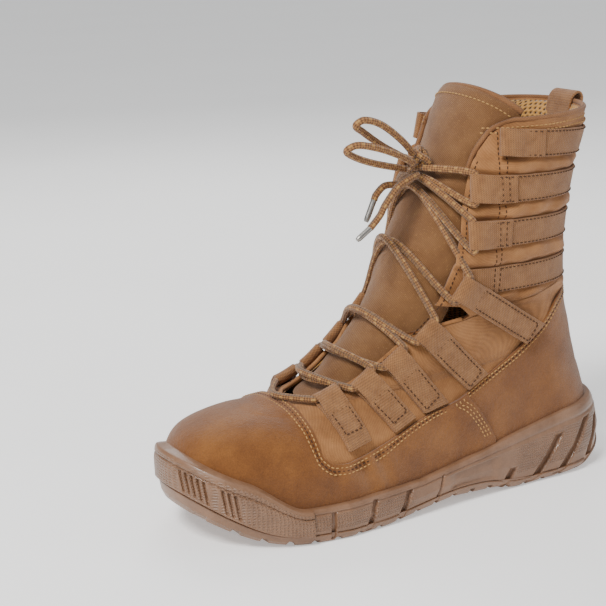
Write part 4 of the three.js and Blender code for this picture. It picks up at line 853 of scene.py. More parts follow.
def seam_line(drop, off, low=0.0, high=2 * np.pi, count=500):
    """Line on the leather a distance under its top edge."""
    a = np.linspace(low, high, count)
    v = seam_row(a)
    climb = np.linalg.norm(last_point(v + 0.01, a) - last_point(v - 0.01, a), axis=-1) / 0.02
    return curve_on(v - drop / climb, a, off)


def rear_line(inset, off, side):
    """Line on the vamp a distance in front of its rear edge."""
    t = np.linspace(0.28, 0.985, 90)
    a = rear_angle(t)
    v = t * seam_row(a)
    pace = np.linalg.norm(last_point(v, a + 0.01) - last_point(v, a - 0.01), axis=-1) / 0.02
    a = a - inset / pace
    return curve_on(t * seam_row(a), a if side < 0 else 2 * np.pi - a, off)


def throat_angle(v):
    """Angle of the throat's edge; it closes round at the base."""
    half = throat_half(v)
    return np.where(v < 0.4, 0.0, angle_at(v, half)) * step(v, 0.395, 0.41)


# Ankle notch in the throat's edge: the cloth starts behind this line
NOTCH_Z = np.array([104.8, 109.7, 113.7, 120.1, 125.0])
NOTCH_X = np.array([-8.3, 25.0, 34.75, 27.8, -8.3])


def cloth_angle(v):
    """Angle at which the cloth starts in a row: the throat's edge, or the notch's if further back."""
    start = throat_angle(v)

    def inside(a):
        p = last_point(v, a)
        return p[..., 0] < np.interp(p[..., 2], NOTCH_Z, NOTCH_X, left=-1e3, right=-1e3)
    notch = bisect(inside, start, np.full(np.shape(v), 1.9))
    return np.where(inside(start + 0.01), notch, start)


STRAP_HEIGHTS = height_of(np.array([[s[1], s[2]] for s in STRAPS]))


def fabric_relief(v, a):
    """Cloth that swells softly between the straps and puckers beside them."""
    p = last_point(v, a)
    z = p[..., 2]
    back = step(np.abs(np.pi - np.mod(a, 2 * np.pi)), 0, np.pi)
    centres = STRAP_HEIGHTS[:, 1][:, None, None] * (1 - back) + STRAP_HEIGHTS[:, 0][:, None, None] * back
    near = np.min(np.abs(z - centres), axis=0)
    shaft = step(z, 112, 126) * (1 - step(z, COLLAR_HEIGHT - 9, COLLAR_HEIGHT - 4))
    swell = 2.3 * step(near, 7.4, 11.5) * shaft
    x = p[..., 0]
    waves = 0.55 * np.sin(x / 3.1 + 2.4 * np.sin(z / 8.0)) + 0.45 * np.sin(x / 6.3 - z / 5.0)
    waves = waves * step(near, 6.5, 9.5) * shaft
    low = step(z, 60, 74) * (1 - step(z, 116, 126))
    waves = waves + 0.8 * low * np.sin(x / 7.5 + z / 11.0 + 1.3 * np.sin(x / 17.0)) * step(z, 78, 90)
    flat = np.where(p[..., 1] > 0, step(np.abs(x - zip_x(z)), 17.0, 24.0), 1.0)
    return (swell + waves + ripple(p, 13.0, 0.25)) * flat


def build_upper():
    v = np.concatenate([np.linspace(0.06, 0.42, 40), np.linspace(0.425, 1.0, 230)])[None, :]
    edge = cloth_angle(v[0])[None, :]
    s = np.linspace(0, 1, 420)[:, None]
    a = edge + (2 * np.pi - 2 * edge) * s
    v = np.broadcast_to(v, a.shape)
    p = last_point(v, a) + last_normal(v, a) * fabric_relief(v, a)[..., None]
    obj = thicken(grid("upper_canvas", p, FABRIC_MAT), UPPER_WALL, -1.0)
    put(obj, "upper", slot="fabric")


def build_lining():
    """Padded lining inside the shaft, swollen under the collar and pinched at its stitched edge."""
    v = np.linspace(0.3, 0.995, 130)[None, :]
    edge = (cloth_angle(v[0]) + 0.02)[None, :]
    s = np.linspace(0, 1, 300)[:, None]
    a = edge + (2 * np.pi - 2 * edge) * s
    v = np.broadcast_to(v, a.shape)
    z = last_point(v, a)[..., 2]
    pad = 2.2 * step(z, 165, 190) * (1 - step(z, 219, 228)) + 0.6 * np.abs(np.sin((z - 150) / 26 * np.pi))
    p = last_point(v, a) - last_normal(v, a) * (UPPER_WALL + 0.5 + pad)[..., None]
    obj = thicken(grid("collar_lining_mesh", p, LINING_MAT, outward=False), 0.6, -1.0)
    put(obj, slot="lining")


TONGUE_FACE = -4.2


def tongue_rim(share):
    """Row of the tongue's top edge, which falls away to both sides."""
    return 1.105 - 0.085 * share * share


def tongue_point(v, share, off):
    half = throat_half(np.clip(v, 0.46, 0.94)) + 14.0
    reach = np.minimum(angle_at(np.minimum(v, 0.96), half), 1.12)
    return on_last(v, -share * reach, off)


def build_tongue():
    """Padded tongue: a closed skin of an outer and an inner face, thinner to its sides, whose top
    edge falls away to both sides."""
    share = np.linspace(-1, 1, 71)[:, None]
    t = np.linspace(0, 1, 160)[None, :]
    top = tongue_rim(share)
    v = 0.43 + (top - 0.43) * t
    share = np.broadcast_to(share, v.shape)
    centre = np.cos(share * np.pi / 2) ** 2 * step(v, 0.45, 0.55)
    pad = 1.0 * np.cos(share * np.pi / 2) * step(v, 0.9, 0.99) * (1 - step(t, 0.965, 1.0))
    edge = (1 - np.abs(share) ** 8) * (1 - step(t, 0.985, 1.0) * 0.85)
    p0 = on_last(v, share * 0, 0)
    outer = tongue_point(v, share, TONGUE_FACE + 2.4 * centre + pad + ripple(p0, 9.0, 0.25)
                         - 1.2 * (1 - edge))
    thin = 5.0 * (1 - 0.35 * share * share)
    inner = tongue_point(v, share, TONGUE_FACE - thin + 2.2 * (1 - edge))
    skin = np.concatenate([outer, inner[::-1]], 0)
    obj = grid("tongue_padded_twill", skin, TWILL_MAT, outward=False, wrap_m=True)
    put(obj, "tongue", slot="fabric")
    s = np.linspace(-1, 1, 120)
    rim_v = tongue_rim(s)
    line = (tongue_point(rim_v, s, np.full(s.shape, TONGUE_FACE - 0.2))
            + tongue_point(rim_v, s, TONGUE_FACE - 4.0 * (1 - 0.35 * s * s))) / 2
    binding = tube("tongue_edge_binding", line + [0, 0, 0.3], 2.0, 12, PIPING_MAT)
    put(binding, slot="fabric")
    return s


def build_piping():
    """Rolled edge round the collar and down both throat corners."""
    clear = 1.5 + GAP
    v = np.array([0.9, 0.92, 0.945, 0.965, 0.985])
    rise = np.array([0, 0.05, 0.12, 0.45, 0.85]) * clear * 0.5
    half = throat_half(v) - clear
    a = angle_at(v, half)
    corner = [on_last(v, a if side < 0 else 2 * np.pi - a, np.full(5, -1.2)) + np.stack([0 * v, 0 * v, rise], -1)
              for side in (-1, 1)]
    start = float(angle_at(1.0, throat_half(1.0) + 1))
    rim_a = np.linspace(start, 2 * np.pi - start, 40)
    rim = on_last(np.ones(40), rim_a, np.full(40, -1.2)) + [0, 0, clear - 1.0]
    path = spline(np.concatenate([corner[0], rim, corner[1][::-1]]), 420)
    put(tube("collar_piping", path, 1.6, 14, PIPING_MAT), "collar_binding", slot="fabric")


# ---------------------------------------------------------------- webbing
class Path:
    """A path over the last by share, measured along its length. place() gives the point at a
    length from its start, a height off the last and a distance across: row and angle are corrected
    a few times until the point stands that far to the side, square to the path."""

    def __init__(self, at):
        self.table = np.linspace(-0.3, 2.4, 541)
        self.along = [np.broadcast_to(q, self.table.shape) for q in at(self.table)]
        share = np.linspace(0, 1, 161)
        self.gone = lengths(last_point(*self.at(share))[:, None], 0)[:, 0]
        self.share = share
        self.length = float(self.gone[-1])

    def at(self, share):
        return tuple(np.interp(share, self.table, q) for q in self.along)

    def rows(self, run, across):
        run, across = np.broadcast_arrays(np.asarray(run, float), np.asarray(across, float))
        beyond = np.where(run < 0, run, np.maximum(run - self.length, 0))
        share = np.interp(run, self.gone, self.share) + beyond / self.length
        v, a = self.at(share)
        ahead = unit(last_point(*self.at(share + 0.01)) - last_point(*self.at(share - 0.01)))
        middle = last_point(v, a)
        aside = unit(np.cross(last_normal(v, a), ahead))
        e = 0.01
        for _ in range(4):
            by_row = (last_point(v + e, a) - last_point(v - e, a)) / (2 * e)
            by_angle = (last_point(v, a + e) - last_point(v, a - e)) / (2 * e)
            miss = aside * across[..., None] - (last_point(v, a) - middle)
            m = [[(by_row * way).sum(-1), (by_angle * way).sum(-1)] for way in (ahead, aside)]
            need = [(miss * way).sum(-1) for way in (ahead, aside)]
            det = m[0][0] * m[1][1] - m[0][1] * m[1][0]
            det = np.where(np.abs(det) < 1e-6, 1e-6, det)
            v = v + np.clip((need[0] * m[1][1] - need[1] * m[0][1]) / det, -0.08, 0.08)
            a = a + np.clip((need[1] * m[0][0] - need[0] * m[1][0]) / det, -0.25, 0.25)
            v = np.clip(v, 0.03, 1.15)
        return v, a

    def place(self, run, height, across):
        v, a = self.rows(run, across)
        return on_last(v, a, np.broadcast_to(height, v.shape))

    def line(self, run, height, across):
        """Points and normals along a line laid on the path."""
        v, a = self.rows(run, across)
        return on_last(v, a, np.broadcast_to(height, v.shape)), last_normal(v, a)


# The folds stand this far behind the place of the source's
SET_BACK = 5.0


def fold_angle(v, set_back):
    return angle_at(v, throat_half(v) - LOOP_REACH + set_back)


def shaft_path(front, back, start, end):
    """Path round the shaft between two angles, at a height that goes from front to back."""
    def at(share):
        a = start + (end - start) * share
        turn = step(np.abs(np.pi - a), 0, np.pi)
        z = height_of(back) * (1 - turn) + height_of(front) * turn
        return row_at_height(z, a), a
    return Path(at)


def slanted_path(v0, tail_x, tail_z, side):
    """Straight way from the throat's edge to a tail: the last cut by the plane that holds both ends
    and stands upright on the surface between them."""
    v1, a1 = row_and_angle(tail_x * FOOT_LENGTH, float(height_of(tail_z)), side)
    a0 = float(fold_angle(v0, SET_BACK))
    a0 = a0 if side < 0 else 2 * np.pi - a0
    p0, p1 = last_point(np.array(v0), np.array(a0)), last_point(np.array(v1), np.array(a1))
    flat = unit(np.cross(p1 - p0, last_normal(v0, a0) + last_normal(v1, a1)))

    def at(share):
        a = a0 + (a1 - a0) * share
        low, high = np.full(a.shape, 0.02), np.full(a.shape, 1.05)
        sign = np.sign(((last_point(low, a) - last_point(high, a)) @ flat))
        return bisect(lambda v: ((last_point(v, a) - p0) @ flat) * sign > 0, low, high), a
    return Path(at)


def zip_x(z):
    z0, z1 = height_of(ZIP_BOTTOM[1]), height_of(ZIP_TOP[1])
    return FOOT_LENGTH * (ZIP_BOTTOM[0] + (ZIP_TOP[0] - ZIP_BOTTOM[0]) * (z - z0) / (z1 - z0))


def zip_rows(share):
    z = height_of(ZIP_TOP[1] + (ZIP_BOTTOM[1] - ZIP_TOP[1]) * np.asarray(share, float))
    a = angle_at_x(zip_x(z), z, 1)
    return row_at_height(z, a), a


ZIP = Path(zip_rows)
ZIP_EDGE = 18.0
SEAT = 0.8
# The topmost slanted loop lies over a strap, and the slanted loops end this far short of the leather
LOOP_OVER = WEBBING + 0.4
LOOP_SHORT = 1.2
FOLD = [(0, 24.0, 0.2), (0, 19.0, 0.25), (0, 14.5, 1.1), (0, 9.5, 3.6), (0, 5.4, 5.4), (0, 2.4, 5.2), (0, 0.9, 3.4),
        (0, 1.7, 1.3), (0, 4.6, 0.2), (0, 9.0, 0.0)]
folds = {}


def webbing_sheet(name, path, width, end, node, doubled, seat=SEAT, stop=None):
    """Webbing folded in front over the lace's room: its centre line runs from the end of the top
    layer forwards, round the fold and back underneath, and is carried across its width."""
    fold = np.array([(r, h) for _, r, h in FOLD])
    fold[:, 1] += seat + WEBBING / 2
    fold[:4, 1] += WEBBING * np.array([1.0, 1.0, 0.9, 0.4])
    fold = spline(np.column_stack([fold, 0 * fold[:, 0]]), 60)[:, :2]
    layer = seat + WEBBING / 2
    under = np.linspace(9.5, end, max(12, int(end / 2.5)))
    under = np.column_stack([under, np.full(under.shape, layer)])
    tail = end if doubled else 27.0
    back = np.linspace(tail, 24.5, max(4, int((tail - 24) / 2.5)))
    over = np.column_stack([back, np.full(back.shape, layer + WEBBING + 0.15)])
    profile = np.concatenate([over, fold, under])
    across = np.linspace(-width / 2, width / 2, 17)
    run, height = (np.repeat(profile[:, i:i + 1], len(across), 1) for i in (0, 1))
    if stop is not None:
        ends = stop(path, across)
        far = run > 20
        run = np.where(far, 20 + (run - 20) * (ends[None] - 20) / (end - 20), run)
    p = path.place(run, height, np.broadcast_to(across[None], run.shape))
    obj = thicken(grid(name, p, WEBBING_MAT, outward=True), WEBBING, 0.0, 0.35)
    put(obj, *([node] if node else []), slot="webbing")
    return obj


def flat_sheet(name, path, width, start, end, node, seat=SEAT, material=None, thickness=WEBBING,
               shift=0.0, slot="webbing", stop=None, bevel=0.35):
    run = np.linspace(start, end, max(20, int((end - start) / 2.0)))[:, None]
    across = np.linspace(-width / 2, width / 2, 17)[None] + shift
    run, across = np.broadcast_arrays(run, across)
    if stop is not None:
        ends = stop(path, across[0])
        run = start + (run - start) * (ends[None] - start) / (end - start)
    p = path.place(run, np.full(run.shape, seat + thickness / 2), across)
    obj = thicken(grid(name, p, material or WEBBING_MAT), thickness, 0.0, bevel)
    return put(obj, *([node] if node else []), slot=slot)


def stop_at_seam(path, across):
    """Length at which each thread of the webbing meets the leather's top edge."""
    run = np.linspace(20, path.length + 16, 200)
    r, c = np.meshgrid(run, across, indexing="ij")
    v, a = path.rows(r, c)
    hit = under_seam(v, a) & (last_point(v, a)[..., 0] > SEAM_ROWS[0, 0] * FOOT_LENGTH)
    ends = np.where(hit.any(0), run[hit.argmax(0)], path.length)
    if len(across) > 2:
        ends = np.polyval(np.polyfit(across, ends, 1), across)
    return ends - LOOP_SHORT


def stop_at_zip(path, across):
    """Length at which each thread of the webbing meets the zip's front facing."""
    run = np.linspace(12, path.length + 12, 160)
    r, c = np.meshgrid(run, across, indexing="ij")
    p = path.place(r, 0 * r, c)
    edge = zip_x(p[..., 2]) - ZIP_EDGE
    hit = (p[..., 0] > edge) & (p[..., 1] > 0)
    first = np.where(hit.any(0), hit.argmax(0), len(run) - 1)
    return run[first] - 0.3


gold_lines, dark_lines = [], []


def seam_x(z):
    """Place of the shaft's vertical seam at a height."""
    return 50.0 + (z - 122) * 8.0 / 99


def edge_stitches(path, start, end, width, height, lines, inset=1.6):
    run = np.linspace(start, end, max(8, int((end - start) / 2)))
    for side in (-1, 1):
        lines.append(path.line(run, height, np.full(run.shape, side * (width / 2 - inset))))


def box_stitches(path, start, end, width, height, lines, inset=2.0):
    """Stitched box with a line down each side and across both ends."""
    edge_stitches(path, start, end, width, height, lines, inset)
    across = np.linspace(-width / 2 + inset, width / 2 - inset, 12)
    for run in (start, end):
        lines.append(path.line(np.full(across.shape, run), height, across))


def build_straps():
    back_seam = 0.03
    for i, (name, front, back) in enumerate(STRAPS):
        z = float(height_of(front))
        start = float(fold_angle(row_at_height(z, 0.6), 8.0 if i == 0 else SET_BACK))
        for side in (-1, 1):
            piece = f"{name}_{'outer' if side < 0 else 'inner'}"
            if side < 0:
                path = shaft_path(front, back, start, np.pi + back_seam)
            else:
                path = shaft_path(front, back, 2 * np.pi - start, float(angle_at_x(zip_x(z), z, 1)))
            folds[piece] = path
            stop = stop_at_zip if side > 0 else None
            end = path.length
            top = SEAT + WEBBING + 0.25
            # The strap edge rows below are dark thread: real stitching, drawn dark so that it also paints the shade
            # along the strap edges
            if name == "strap_4":
                flat_sheet(piece + "_webbing", path, WEBBING_WIDTH, 4.0, end, piece, stop=stop)
            else:
                webbing_sheet(piece + "_webbing", path, WEBBING_WIDTH, end, piece, False, stop=stop)
                edge_stitches(path, 15.5, 25.5, WEBBING_WIDTH, top + WEBBING, dark_lines, 1.1)
            reach = end if side < 0 else float(stop_at_zip(path, np.zeros(1))[0])
            edge_stitches(path, 28.0, reach - 2, WEBBING_WIDTH, top, dark_lines, 1.1)
            if side < 0:
                across = np.linspace(-WEBBING_WIDTH / 2, WEBBING_WIDTH / 2, 12)
                along = np.linspace(0, end, 200)
                middle = path.line(along, top, 0 * along)[0]
                seam = along[np.argmax(middle[:, 0] > seam_x(middle[:, 2]))]
                for shift in (-2.0, 2.0):
                    height = top + (WEBBING if seam < 26 else 0)
                    dark_lines.append(path.line(np.full(across.shape, seam + shift), height, across))
        begin = float(angle_at_x(zip_x(z), z, 1))
        rear = shaft_path(front, back, np.pi + back_seam, begin)
        edge = rear.length - ZIP_EDGE
        flat_sheet(name + "_rear_webbing", rear, WEBBING_WIDTH, 0.0, edge, name + "_rear")
        # Dark thread along the rear straps' edges: real stitching that also paints the shade along their edges
        edge_stitches(rear, 2, edge - 2, WEBBING_WIDTH, SEAT + WEBBING + 0.25, dark_lines, 1.1)


def build_loops():
    for name, v0, tail_x, tail_z, inner_x, inner_z in LOOPS:
        for side in (-1, 1):
            piece = f"{name}_{'outer' if side < 0 else 'inner'}"
            x, z = (tail_x, tail_z) if side < 0 else (inner_x, inner_z)
            path = slanted_path(v0, x, z, side)
            folds[piece] = path
            zipped = name == "loop_1" and side > 0
            seat = SEAT + (LOOP_OVER if name == "loop_1" else 0.0)
            stop = stop_at_zip if zipped else stop_at_seam
            webbing_sheet(piece + "_webbing", path, WEBBING_WIDTH, path.length + 12, piece, True,
                          seat=seat, stop=stop)
            top = seat + 2 * WEBBING + 0.45
            far = float(stop(path, np.zeros(1))[0])
            box_stitches(path, 15.5, far - 3.0, WEBBING_WIDTH, top, dark_lines)


def build_zip():
    width = 15.0
    end = ZIP.length - 1.0
    flat_sheet("zip_tape_cloth", ZIP, width, 0.0, end, "zip_tape", seat=0.5, material=PIPING_MAT, thickness=0.8,
               slot="fabric", bevel=0.0)
    for name, side in (("zip_facing_front", 1), ("zip_facing_rear", -1)):
        flat_sheet(name + "_nubuck", ZIP, 11.0, 0.0, end, name, seat=0.7, material=SUEDE_MAT, thickness=1.5,
                   shift=side * (width / 2 + 4.2), slot="suede")
        for inset in (2.4, 4.6):
            run = np.linspace(2, end - 2, 60)
            gold_lines.append(ZIP.line(run, 2.35, np.full(run.shape, side * (2.0 + inset))))
    run = np.arange(2.0, end - 2, 1.25)
    side = np.where(np.arange(len(run)) % 2 == 0, -1.0, 1.0)
    centre, up = ZIP.line(run, 1.9, side * 0.7)
    ahead = unit(ZIP.line(run + 0.5, 1.9, 0 * run)[0] - ZIP.line(run - 0.5, 1.9, 0 * run)[0])
    over = unit(np.cross(up, ahead))
    u = np.linspace(0, 2 * np.pi, 8, endpoint=False)
    rows = np.array([-1.0, -0.8, 0.8, 1.0])
    size = np.array([0.6, 1.0, 1.0, 0.6])
    ring = (centre[:, None, None] + over[:, None, None] * (rows * 1.75)[None, :, None, None]
            + ahead[:, None, None] * (0.46 * size[:, None] * np.cos(u))[None, :, :, None]
            + up[:, None, None] * (0.8 * size[:, None] * np.sin(u))[None, :, :, None])
    faces = (quads(4, 8, wrap_n=True)[None] + 32 * np.arange(len(run))[:, None, None]).reshape(-1, 4)
    put(make("zip_teeth_brass", ring.reshape(-1, 3), faces, BRASS_MAT), "zip_teeth", slot="brass")


# ---------------------------------------------------------------- lace
LEVELS = ["strap_2", "strap_3", "loop_1", "loop_2", "loop_3", "loop_4", "loop_5"]


def through(level, side, upwards):
    """Points of the lace where it passes through a fold, from one end of the fold to the other."""
    path = folds[f"{level}_{'outer' if side < 0 else 'inner'}"]
    lift = SEAT + WEBBING + LACE / 2 + 0.1 + (LOOP_OVER if level == "loop_1" else 0.0)
    share = np.array([-1.0, -0.4, 0.4, 1.0])
    p = path.place(np.array([2.2, 3.9, 3.9, 2.2]), np.full(4, lift), share * (WEBBING_WIDTH / 2 + 1.0))
    if p[0, 2] < p[3, 2]:
        p = p[::-1]
    return p[::-1] if upwards else p


def ridge_row(x):
    return float(bisect(lambda v: last_point(v, 0.0)[..., 0] < x, np.array(0.385), np.array(1.0)))


def build_lace():
    """One lace from the knot down through the folds, over the vamp as a bar, and up again."""
    runs = [through(level, -1 if i % 2 == 0 else 1, False) for i, level in enumerate(LEVELS)]
    runs += [through(level, 1 if i % 2 == 0 else -1, True) for i, level in reversed(list(enumerate(LEVELS)))]
    points = [KNOT + [1, -3, -5]]
    for i, run in enumerate(runs):
        points += list(run)
        if i == len(LEVELS) - 1:
            points.append(on_last(np.array(0.388), np.array(0.0), np.array(SUEDE + GAP + LACE / 2 + 0.6)))
        elif i < len(runs) - 1:
            middle = (run[-1] + runs[i + 1][0]) / 2
            lift = 2.6 if i < len(LEVELS) else 6.6
            points.append(on_last(np.array(ridge_row(middle[0] - 9)), np.array(0.0), np.array(lift)))
    points.append(KNOT + [1, 3, -5])
    path = spline(points, 1500)
    put(tube("lace_braid", path, LACE / 2, 12, BRAID_MAT), "lace", slot="cord")


# ---------------------------------------------------------------- sole
def sole_value(x, column):
    return np.interp(x / FOOT_LENGTH, SOLE_ROWS[:, 0], SOLE_ROWS[:, column])


def tread_top(x):
    return underside(x) + TREAD_LAYER * sole_value(x, 4)


def rim_top(x):
    return footbed(x) + RIM_WALL * sole_value(x, 2)


def sole_base(a):
    """Feather line and its level outward direction."""
    p, n = last_point(np.zeros_like(a), a), last_normal(np.zeros_like(a), a)
    return p, unit(np.stack([n[..., 0], n[..., 1], 0 * a], -1))


def groove(d, half, soft=0.5):
    """1 inside a groove of this half width, 0 outside, with steep sides."""
    return 1 - step(np.abs(d), half - soft / 2, half + soft / 2)


# Side grooves: place and lean of their middle, half width, share of the wall's height from and to, depth
SIDE_GROOVES = (
    (-70.0, 0.0, 1.3, 0.1, 0.86, 2.6), (-44.0, 5.0, 1.9, 0.1, 0.9, 3.0), (-20.0, 7.0, 2.3, 0.08, 0.86, 3.0),
    (6.0, 6.0, 0.8, 0.08, 0.9, 1.8), (58.0, 10.0, 2.5, 0.0, 0.5, 3.0), (88.0, 24.0, 3.4, 0.12, 0.74, 3.4),
    (112.0, 26.0, 3.4, 0.18, 0.8, 3.4), (131.0, 14.0, 2.8, 0.18, 0.72, 3.0),
)


def wall_relief(x, q):
    """Depth pressed into the side wall: a parting line over the tread, a fine lip under the top edge,
    leaning grooves between the blocks, and a shallow recess along the arch."""
    d = 1.1 * groove(q - 0.3, 0.012, 0.02) + 0.7 * groove(q - 0.86, 0.02, 0.03)
    for place, lean, half, low, high, depth in SIDE_GROOVES:
        share = (q - low) / (high - low)
        inside = step(share, -0.04, 0.04) * (1 - step(share, 0.96, 1.04))
        d = np.maximum(d, depth * inside * groove(x - place - lean * (share - 0.5), half, 0.9))
    arch = step(x, 12, 20) * (1 - step(x, 46, 54)) * step(q, 0.34, 0.38) * (1 - step(q, 0.76, 0.8))
    return np.maximum(d, 1.3 * arch)


SOLE_COLUMNS, SOLE_RINGS = 1500, 70


def build_sole():
    """Side wall of the sole as rings from the floor to the rim: each ring is the feather line grown
    sideways, with grooves pressed into it; it turns in under the tread and over the rim."""
    a = np.linspace(0, 2 * np.pi, SOLE_COLUMNS, endpoint=False)[:, None]
    # height share, bulge and flare of the rings, as in the source
    table = np.array([(0, -2.2, 0.3), (0.1, -0.2, 0.7), (0.27, 0.8, 1.0), (0.33, 0.4, 0.9), (0.55, 1.8, 0.8),
                      (0.84, 1.2, 0.5), (0.95, 0.6, 0.3), (1.0, -0.4, 0.2)])
    q = np.linspace(0, 1, SOLE_RINGS)[None, :]
    base, flat = sole_base(np.broadcast_to(a, (SOLE_COLUMNS, SOLE_RINGS)))
    at = base[..., 0] / FOOT_LENGTH
    bulge = np.interp(q, table[:, 0], table[:, 1])
    flare = np.interp(q, table[:, 0], table[:, 2])
    wall, heel = (np.interp(at, SOLE_ROWS[:, 0], SOLE_ROWS[:, i]) for i in (3, 5))
    out = RIM_WALL * wall + bulge + HEEL_FLARE * flare * heel
    x = base[..., 0] + flat[..., 0] * out
    out = out - wall_relief(x, q) + 0.35
    x2 = base[..., 0] + flat[..., 0] * out
    y = base[..., 1] + flat[..., 1] * out
    low, mid, high = underside(x), tread_top(x), rim_top(x)
    z = np.where(q < 0.3, low + (mid - low) * q / 0.3, mid + (high - mid) * (q - 0.3) / 0.7)
    lug = groove(np.mod(x + 122.3 + 7, 14.0) - 7, 1.8, 0.6) * (1 - step(q, 0.10, 0.14))
    z = z + lug * np.maximum(2.8 - (z - low), 0) * (q < 0.2)
    p = np.stack([x2, y, z], -1)
    inner = []
    for drop, back in ((0.3, 3.0), (-1.5, 7.0)):
        spot = base[:, -1:] + flat[:, -1:] * (out[:, -1:, None] - back)
        spot[..., 2] = z[:, -1:] + drop
        inner.append(spot)
    under = base[:, :1] + flat[:, :1] * (out[:, :1, None] - 7.0)
    under[..., 2] = z[:, :1] + 0.6
    p = np.concatenate([under, p] + inner, 1)
    hatch = np.zeros(p.shape[:2])
    blocks = step(q, 0.4, 0.42) * (1 - step(q, 0.8, 0.82)) * (wall_relief(x, q) < 0.1)
    hatch[:, 1:SOLE_RINGS + 1] = blocks * (1 - step(x, -20, -10)) + blocks * step(x, 60, 70)
    obj = grid("sole_side_wall", p, RUBBER_MAT, wrap_m=True, attribute=("hatch", hatch))
    put(obj, "midsole", slot="rubber")


BUMPER_END = -0.305 * FOOT_LENGTH


def bumper_top(x):
    """Top edge of the toe rand: level round the toe, then an S down to the rim at its end."""
    top = footbed(x) + BUMPER_HEIGHT
    fall = step(x, -0.42 * FOOT_LENGTH, BUMPER_END)
    return top * (1 - fall) + rim_top(x) * fall


# Slanted slots of the toe rand, as distances from its middle to either side
SLOT_PLACES = (15.1, 18.5, 21.9, 25.3, 28.7, 38.6, 41.9, 45.2)


BUMPER_COLUMNS, BUMPER_RINGS = 700, 50


def build_bumper():
    """Toe rand: a wall outside the sole's own from the tread up, hatched, with slanted slots."""
    half = float(bisect(lambda t: last_point(0.0, t)[..., 0] < BUMPER_END + 4, np.array(0.2), np.array(2.0)))
    a = np.linspace(-half, half, BUMPER_COLUMNS)[:, None]
    q = np.linspace(0, 1, BUMPER_RINGS)[None, :]
    base, flat = sole_base(np.broadcast_to(a, (BUMPER_COLUMNS, BUMPER_RINGS)))
    at = base[..., 0] / FOOT_LENGTH
    out = RIM_WALL * np.interp(at, SOLE_ROWS[:, 0], SOLE_ROWS[:, 3])
    out = out + np.interp(q, [0, 0.5, 0.86, 0.95, 1.0], [3.4, 3.6, 2.7, 1.8, 0.2])
    x = base[..., 0] + flat[..., 0] * out
    gone = lengths(base, 0)
    gone = gone - gone[BUMPER_COLUMNS // 2:BUMPER_COLUMNS // 2 + 1]
    slots = np.zeros((BUMPER_COLUMNS, BUMPER_RINGS))
    for centre in SLOT_PLACES:
        for side in (-1, 1):
            slots = np.maximum(slots, groove(side * gone - centre + 4.0 * (q - 0.35), 0.75, 0.5)
                               * step(q, 0.05, 0.09) * (1 - step(q, 0.6, 0.66)))
    low, high = tread_top(x) + GAP, bumper_top(x)
    out = out - 2.2 * slots - 0.8 * groove(q - 0.7, 0.02, 0.03)
    p = base + flat * out[..., None]
    p[..., 2] = low + (high - low) * q
    roll = base[:, -1:] + flat[:, -1:] * (out[:, -1:, None] - 5.0)
    roll[..., 2] = p[:, -1:, 2] + 0.4
    foot = base[:, :1] + flat[:, :1] * (out[:, :1, None] - 3.0)
    foot[..., 2] = p[:, :1, 2]
    p = np.concatenate([foot, p, roll], 1)
    hatch = np.zeros(p.shape[:2])
    hatch[:, 1:BUMPER_RINGS + 1] = step(q, 0.02, 0.05) * (1 - step(q, 0.82, 0.86)) * (1 - slots)
    obj = grid("toe_rand", p, RUBBER_MAT, attribute=("hatch", hatch))
    put(obj, "toe_bumper", slot="rubber")


# ---------------------------------------------------------------- pull loop and remaining parts
def build_pull_loop():
    rim = last_point(1.0, np.pi)
    low = last_point(0.9, np.pi)
    lean = (rim[0] - low[0]) / (rim[2] - low[2])
    outside, inside = rim[0] + 3.4, rim[0] - 5.4
    side = [(outside, -21), (outside, -12), (outside, -3), (outside - 0.2, 2.5), (outside - 2.0, 5.4),
            (rim[0] - 1.0, 6.6), (inside + 1.6, 5.4), (inside, 2.5), (inside, -3), (inside, -9), (inside, -14)]
    line = spline([(x + lean * dz, rim[2] + dz, 0) for x, dz in side], 60)
    y = np.linspace(-11, 11, 17)
    p = np.stack(np.broadcast_arrays(line[:, 0][:, None], y[None], line[:, 1][:, None]), -1)
    obj = thicken(grid("heel_pull_loop", p, WEBBING_MAT, outward=True), WEBBING, 0.0, 0.35)
    put(obj, "pull_loop", slot="webbing")


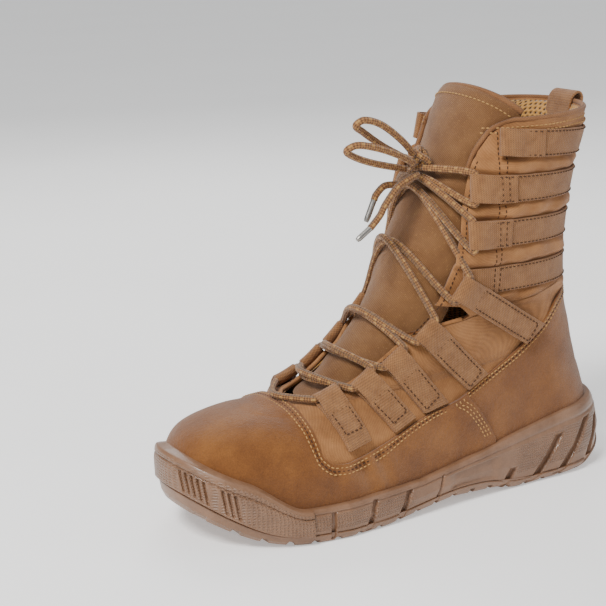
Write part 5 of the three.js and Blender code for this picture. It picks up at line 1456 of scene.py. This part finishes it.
def paint_cad():
    """The CAD pieces that keep their own shape get their real finish."""
    for node, material in (("outsole", RUBBER_MAT), ("insole", LINING_MAT), ("vent_eyelet_front", STEEL_MAT),
                           ("vent_eyelet_rear", STEEL_MAT), ("zip_slider", BRASS_MAT), ("zip_pull", BRASS_MAT)):
        mesh = frame["nodes"][node].data
        mesh.materials.clear()
        mesh.materials.append(material)


def build_stitching(tongue_share):
    for drop in (2.0, 6.2):
        gold_lines.append(seam_line(drop, 1.8))
    # The dark row between the two golden rows is painted shade: dark thread in the place of the groove's shadow
    # between them
    dark_lines.append(seam_line(4.1, 1.78))
    for side in (-1, 1):
        for inset in (2.2, 4.4, 6.6):
            gold_lines.append(rear_line(inset, 2.88, side))
    a = np.linspace(0.62, 2 * np.pi - 0.62, 300)
    for z_drop in (3.4, 6.2):
        v = row_at_height(last_point(1.0, a)[..., 2] - z_drop, a)
        gold_lines.append(curve_on(v, a, fabric_relief(v[None], a[None])[0] + 0.08))
    gold_lines.append(tongue_line(tongue_share))
    z = np.linspace(122, 221, 100)
    for shift in (-2.0, 2.0):
        a = angle_at_x(seam_x(z) + shift, z, -1)
        v = row_at_height(z, a)
        dark_lines.append(curve_on(v, a, fabric_relief(v[None], a[None])[0] + 0.08))
    v = np.linspace(0.42, 0.93, 200)
    for side in (-1, 1):
        edge = throat_angle(v) + 0.06
        a = edge if side < 0 else 2 * np.pi - edge
        dark_lines.append(curve_on(v, a, fabric_relief(v[None], a[None])[0] + 0.08))
    put(stitches("golden_stitching", gold_lines, GOLD_THREAD), slot="fabric")
    # Dark thread stitching; some of its rows paint shade in the seam's groove and along the strap edges
    put(stitches("dark_stitching_and_painted_shade", dark_lines, DARK_THREAD_AND_PAINTED_SHADE), slot="fabric")


def tongue_line(share):
    s = share[4:-4]
    v = tongue_rim(s) - 0.03
    across = np.cos(s * np.pi / 2)
    p = tongue_point(v, s, TONGUE_FACE + 2.4 * across ** 2 + 1.0 * across + 0.2)
    return p, last_normal(v, -s * 0.8)


build_suede()
build_upper()
build_lining()
share_line = build_tongue()
build_piping()
build_straps()
build_loops()
build_zip()
build_lace()
build_sole()
build_bumper()
build_pull_loop()
build_stitching(share_line)
paint_cad()
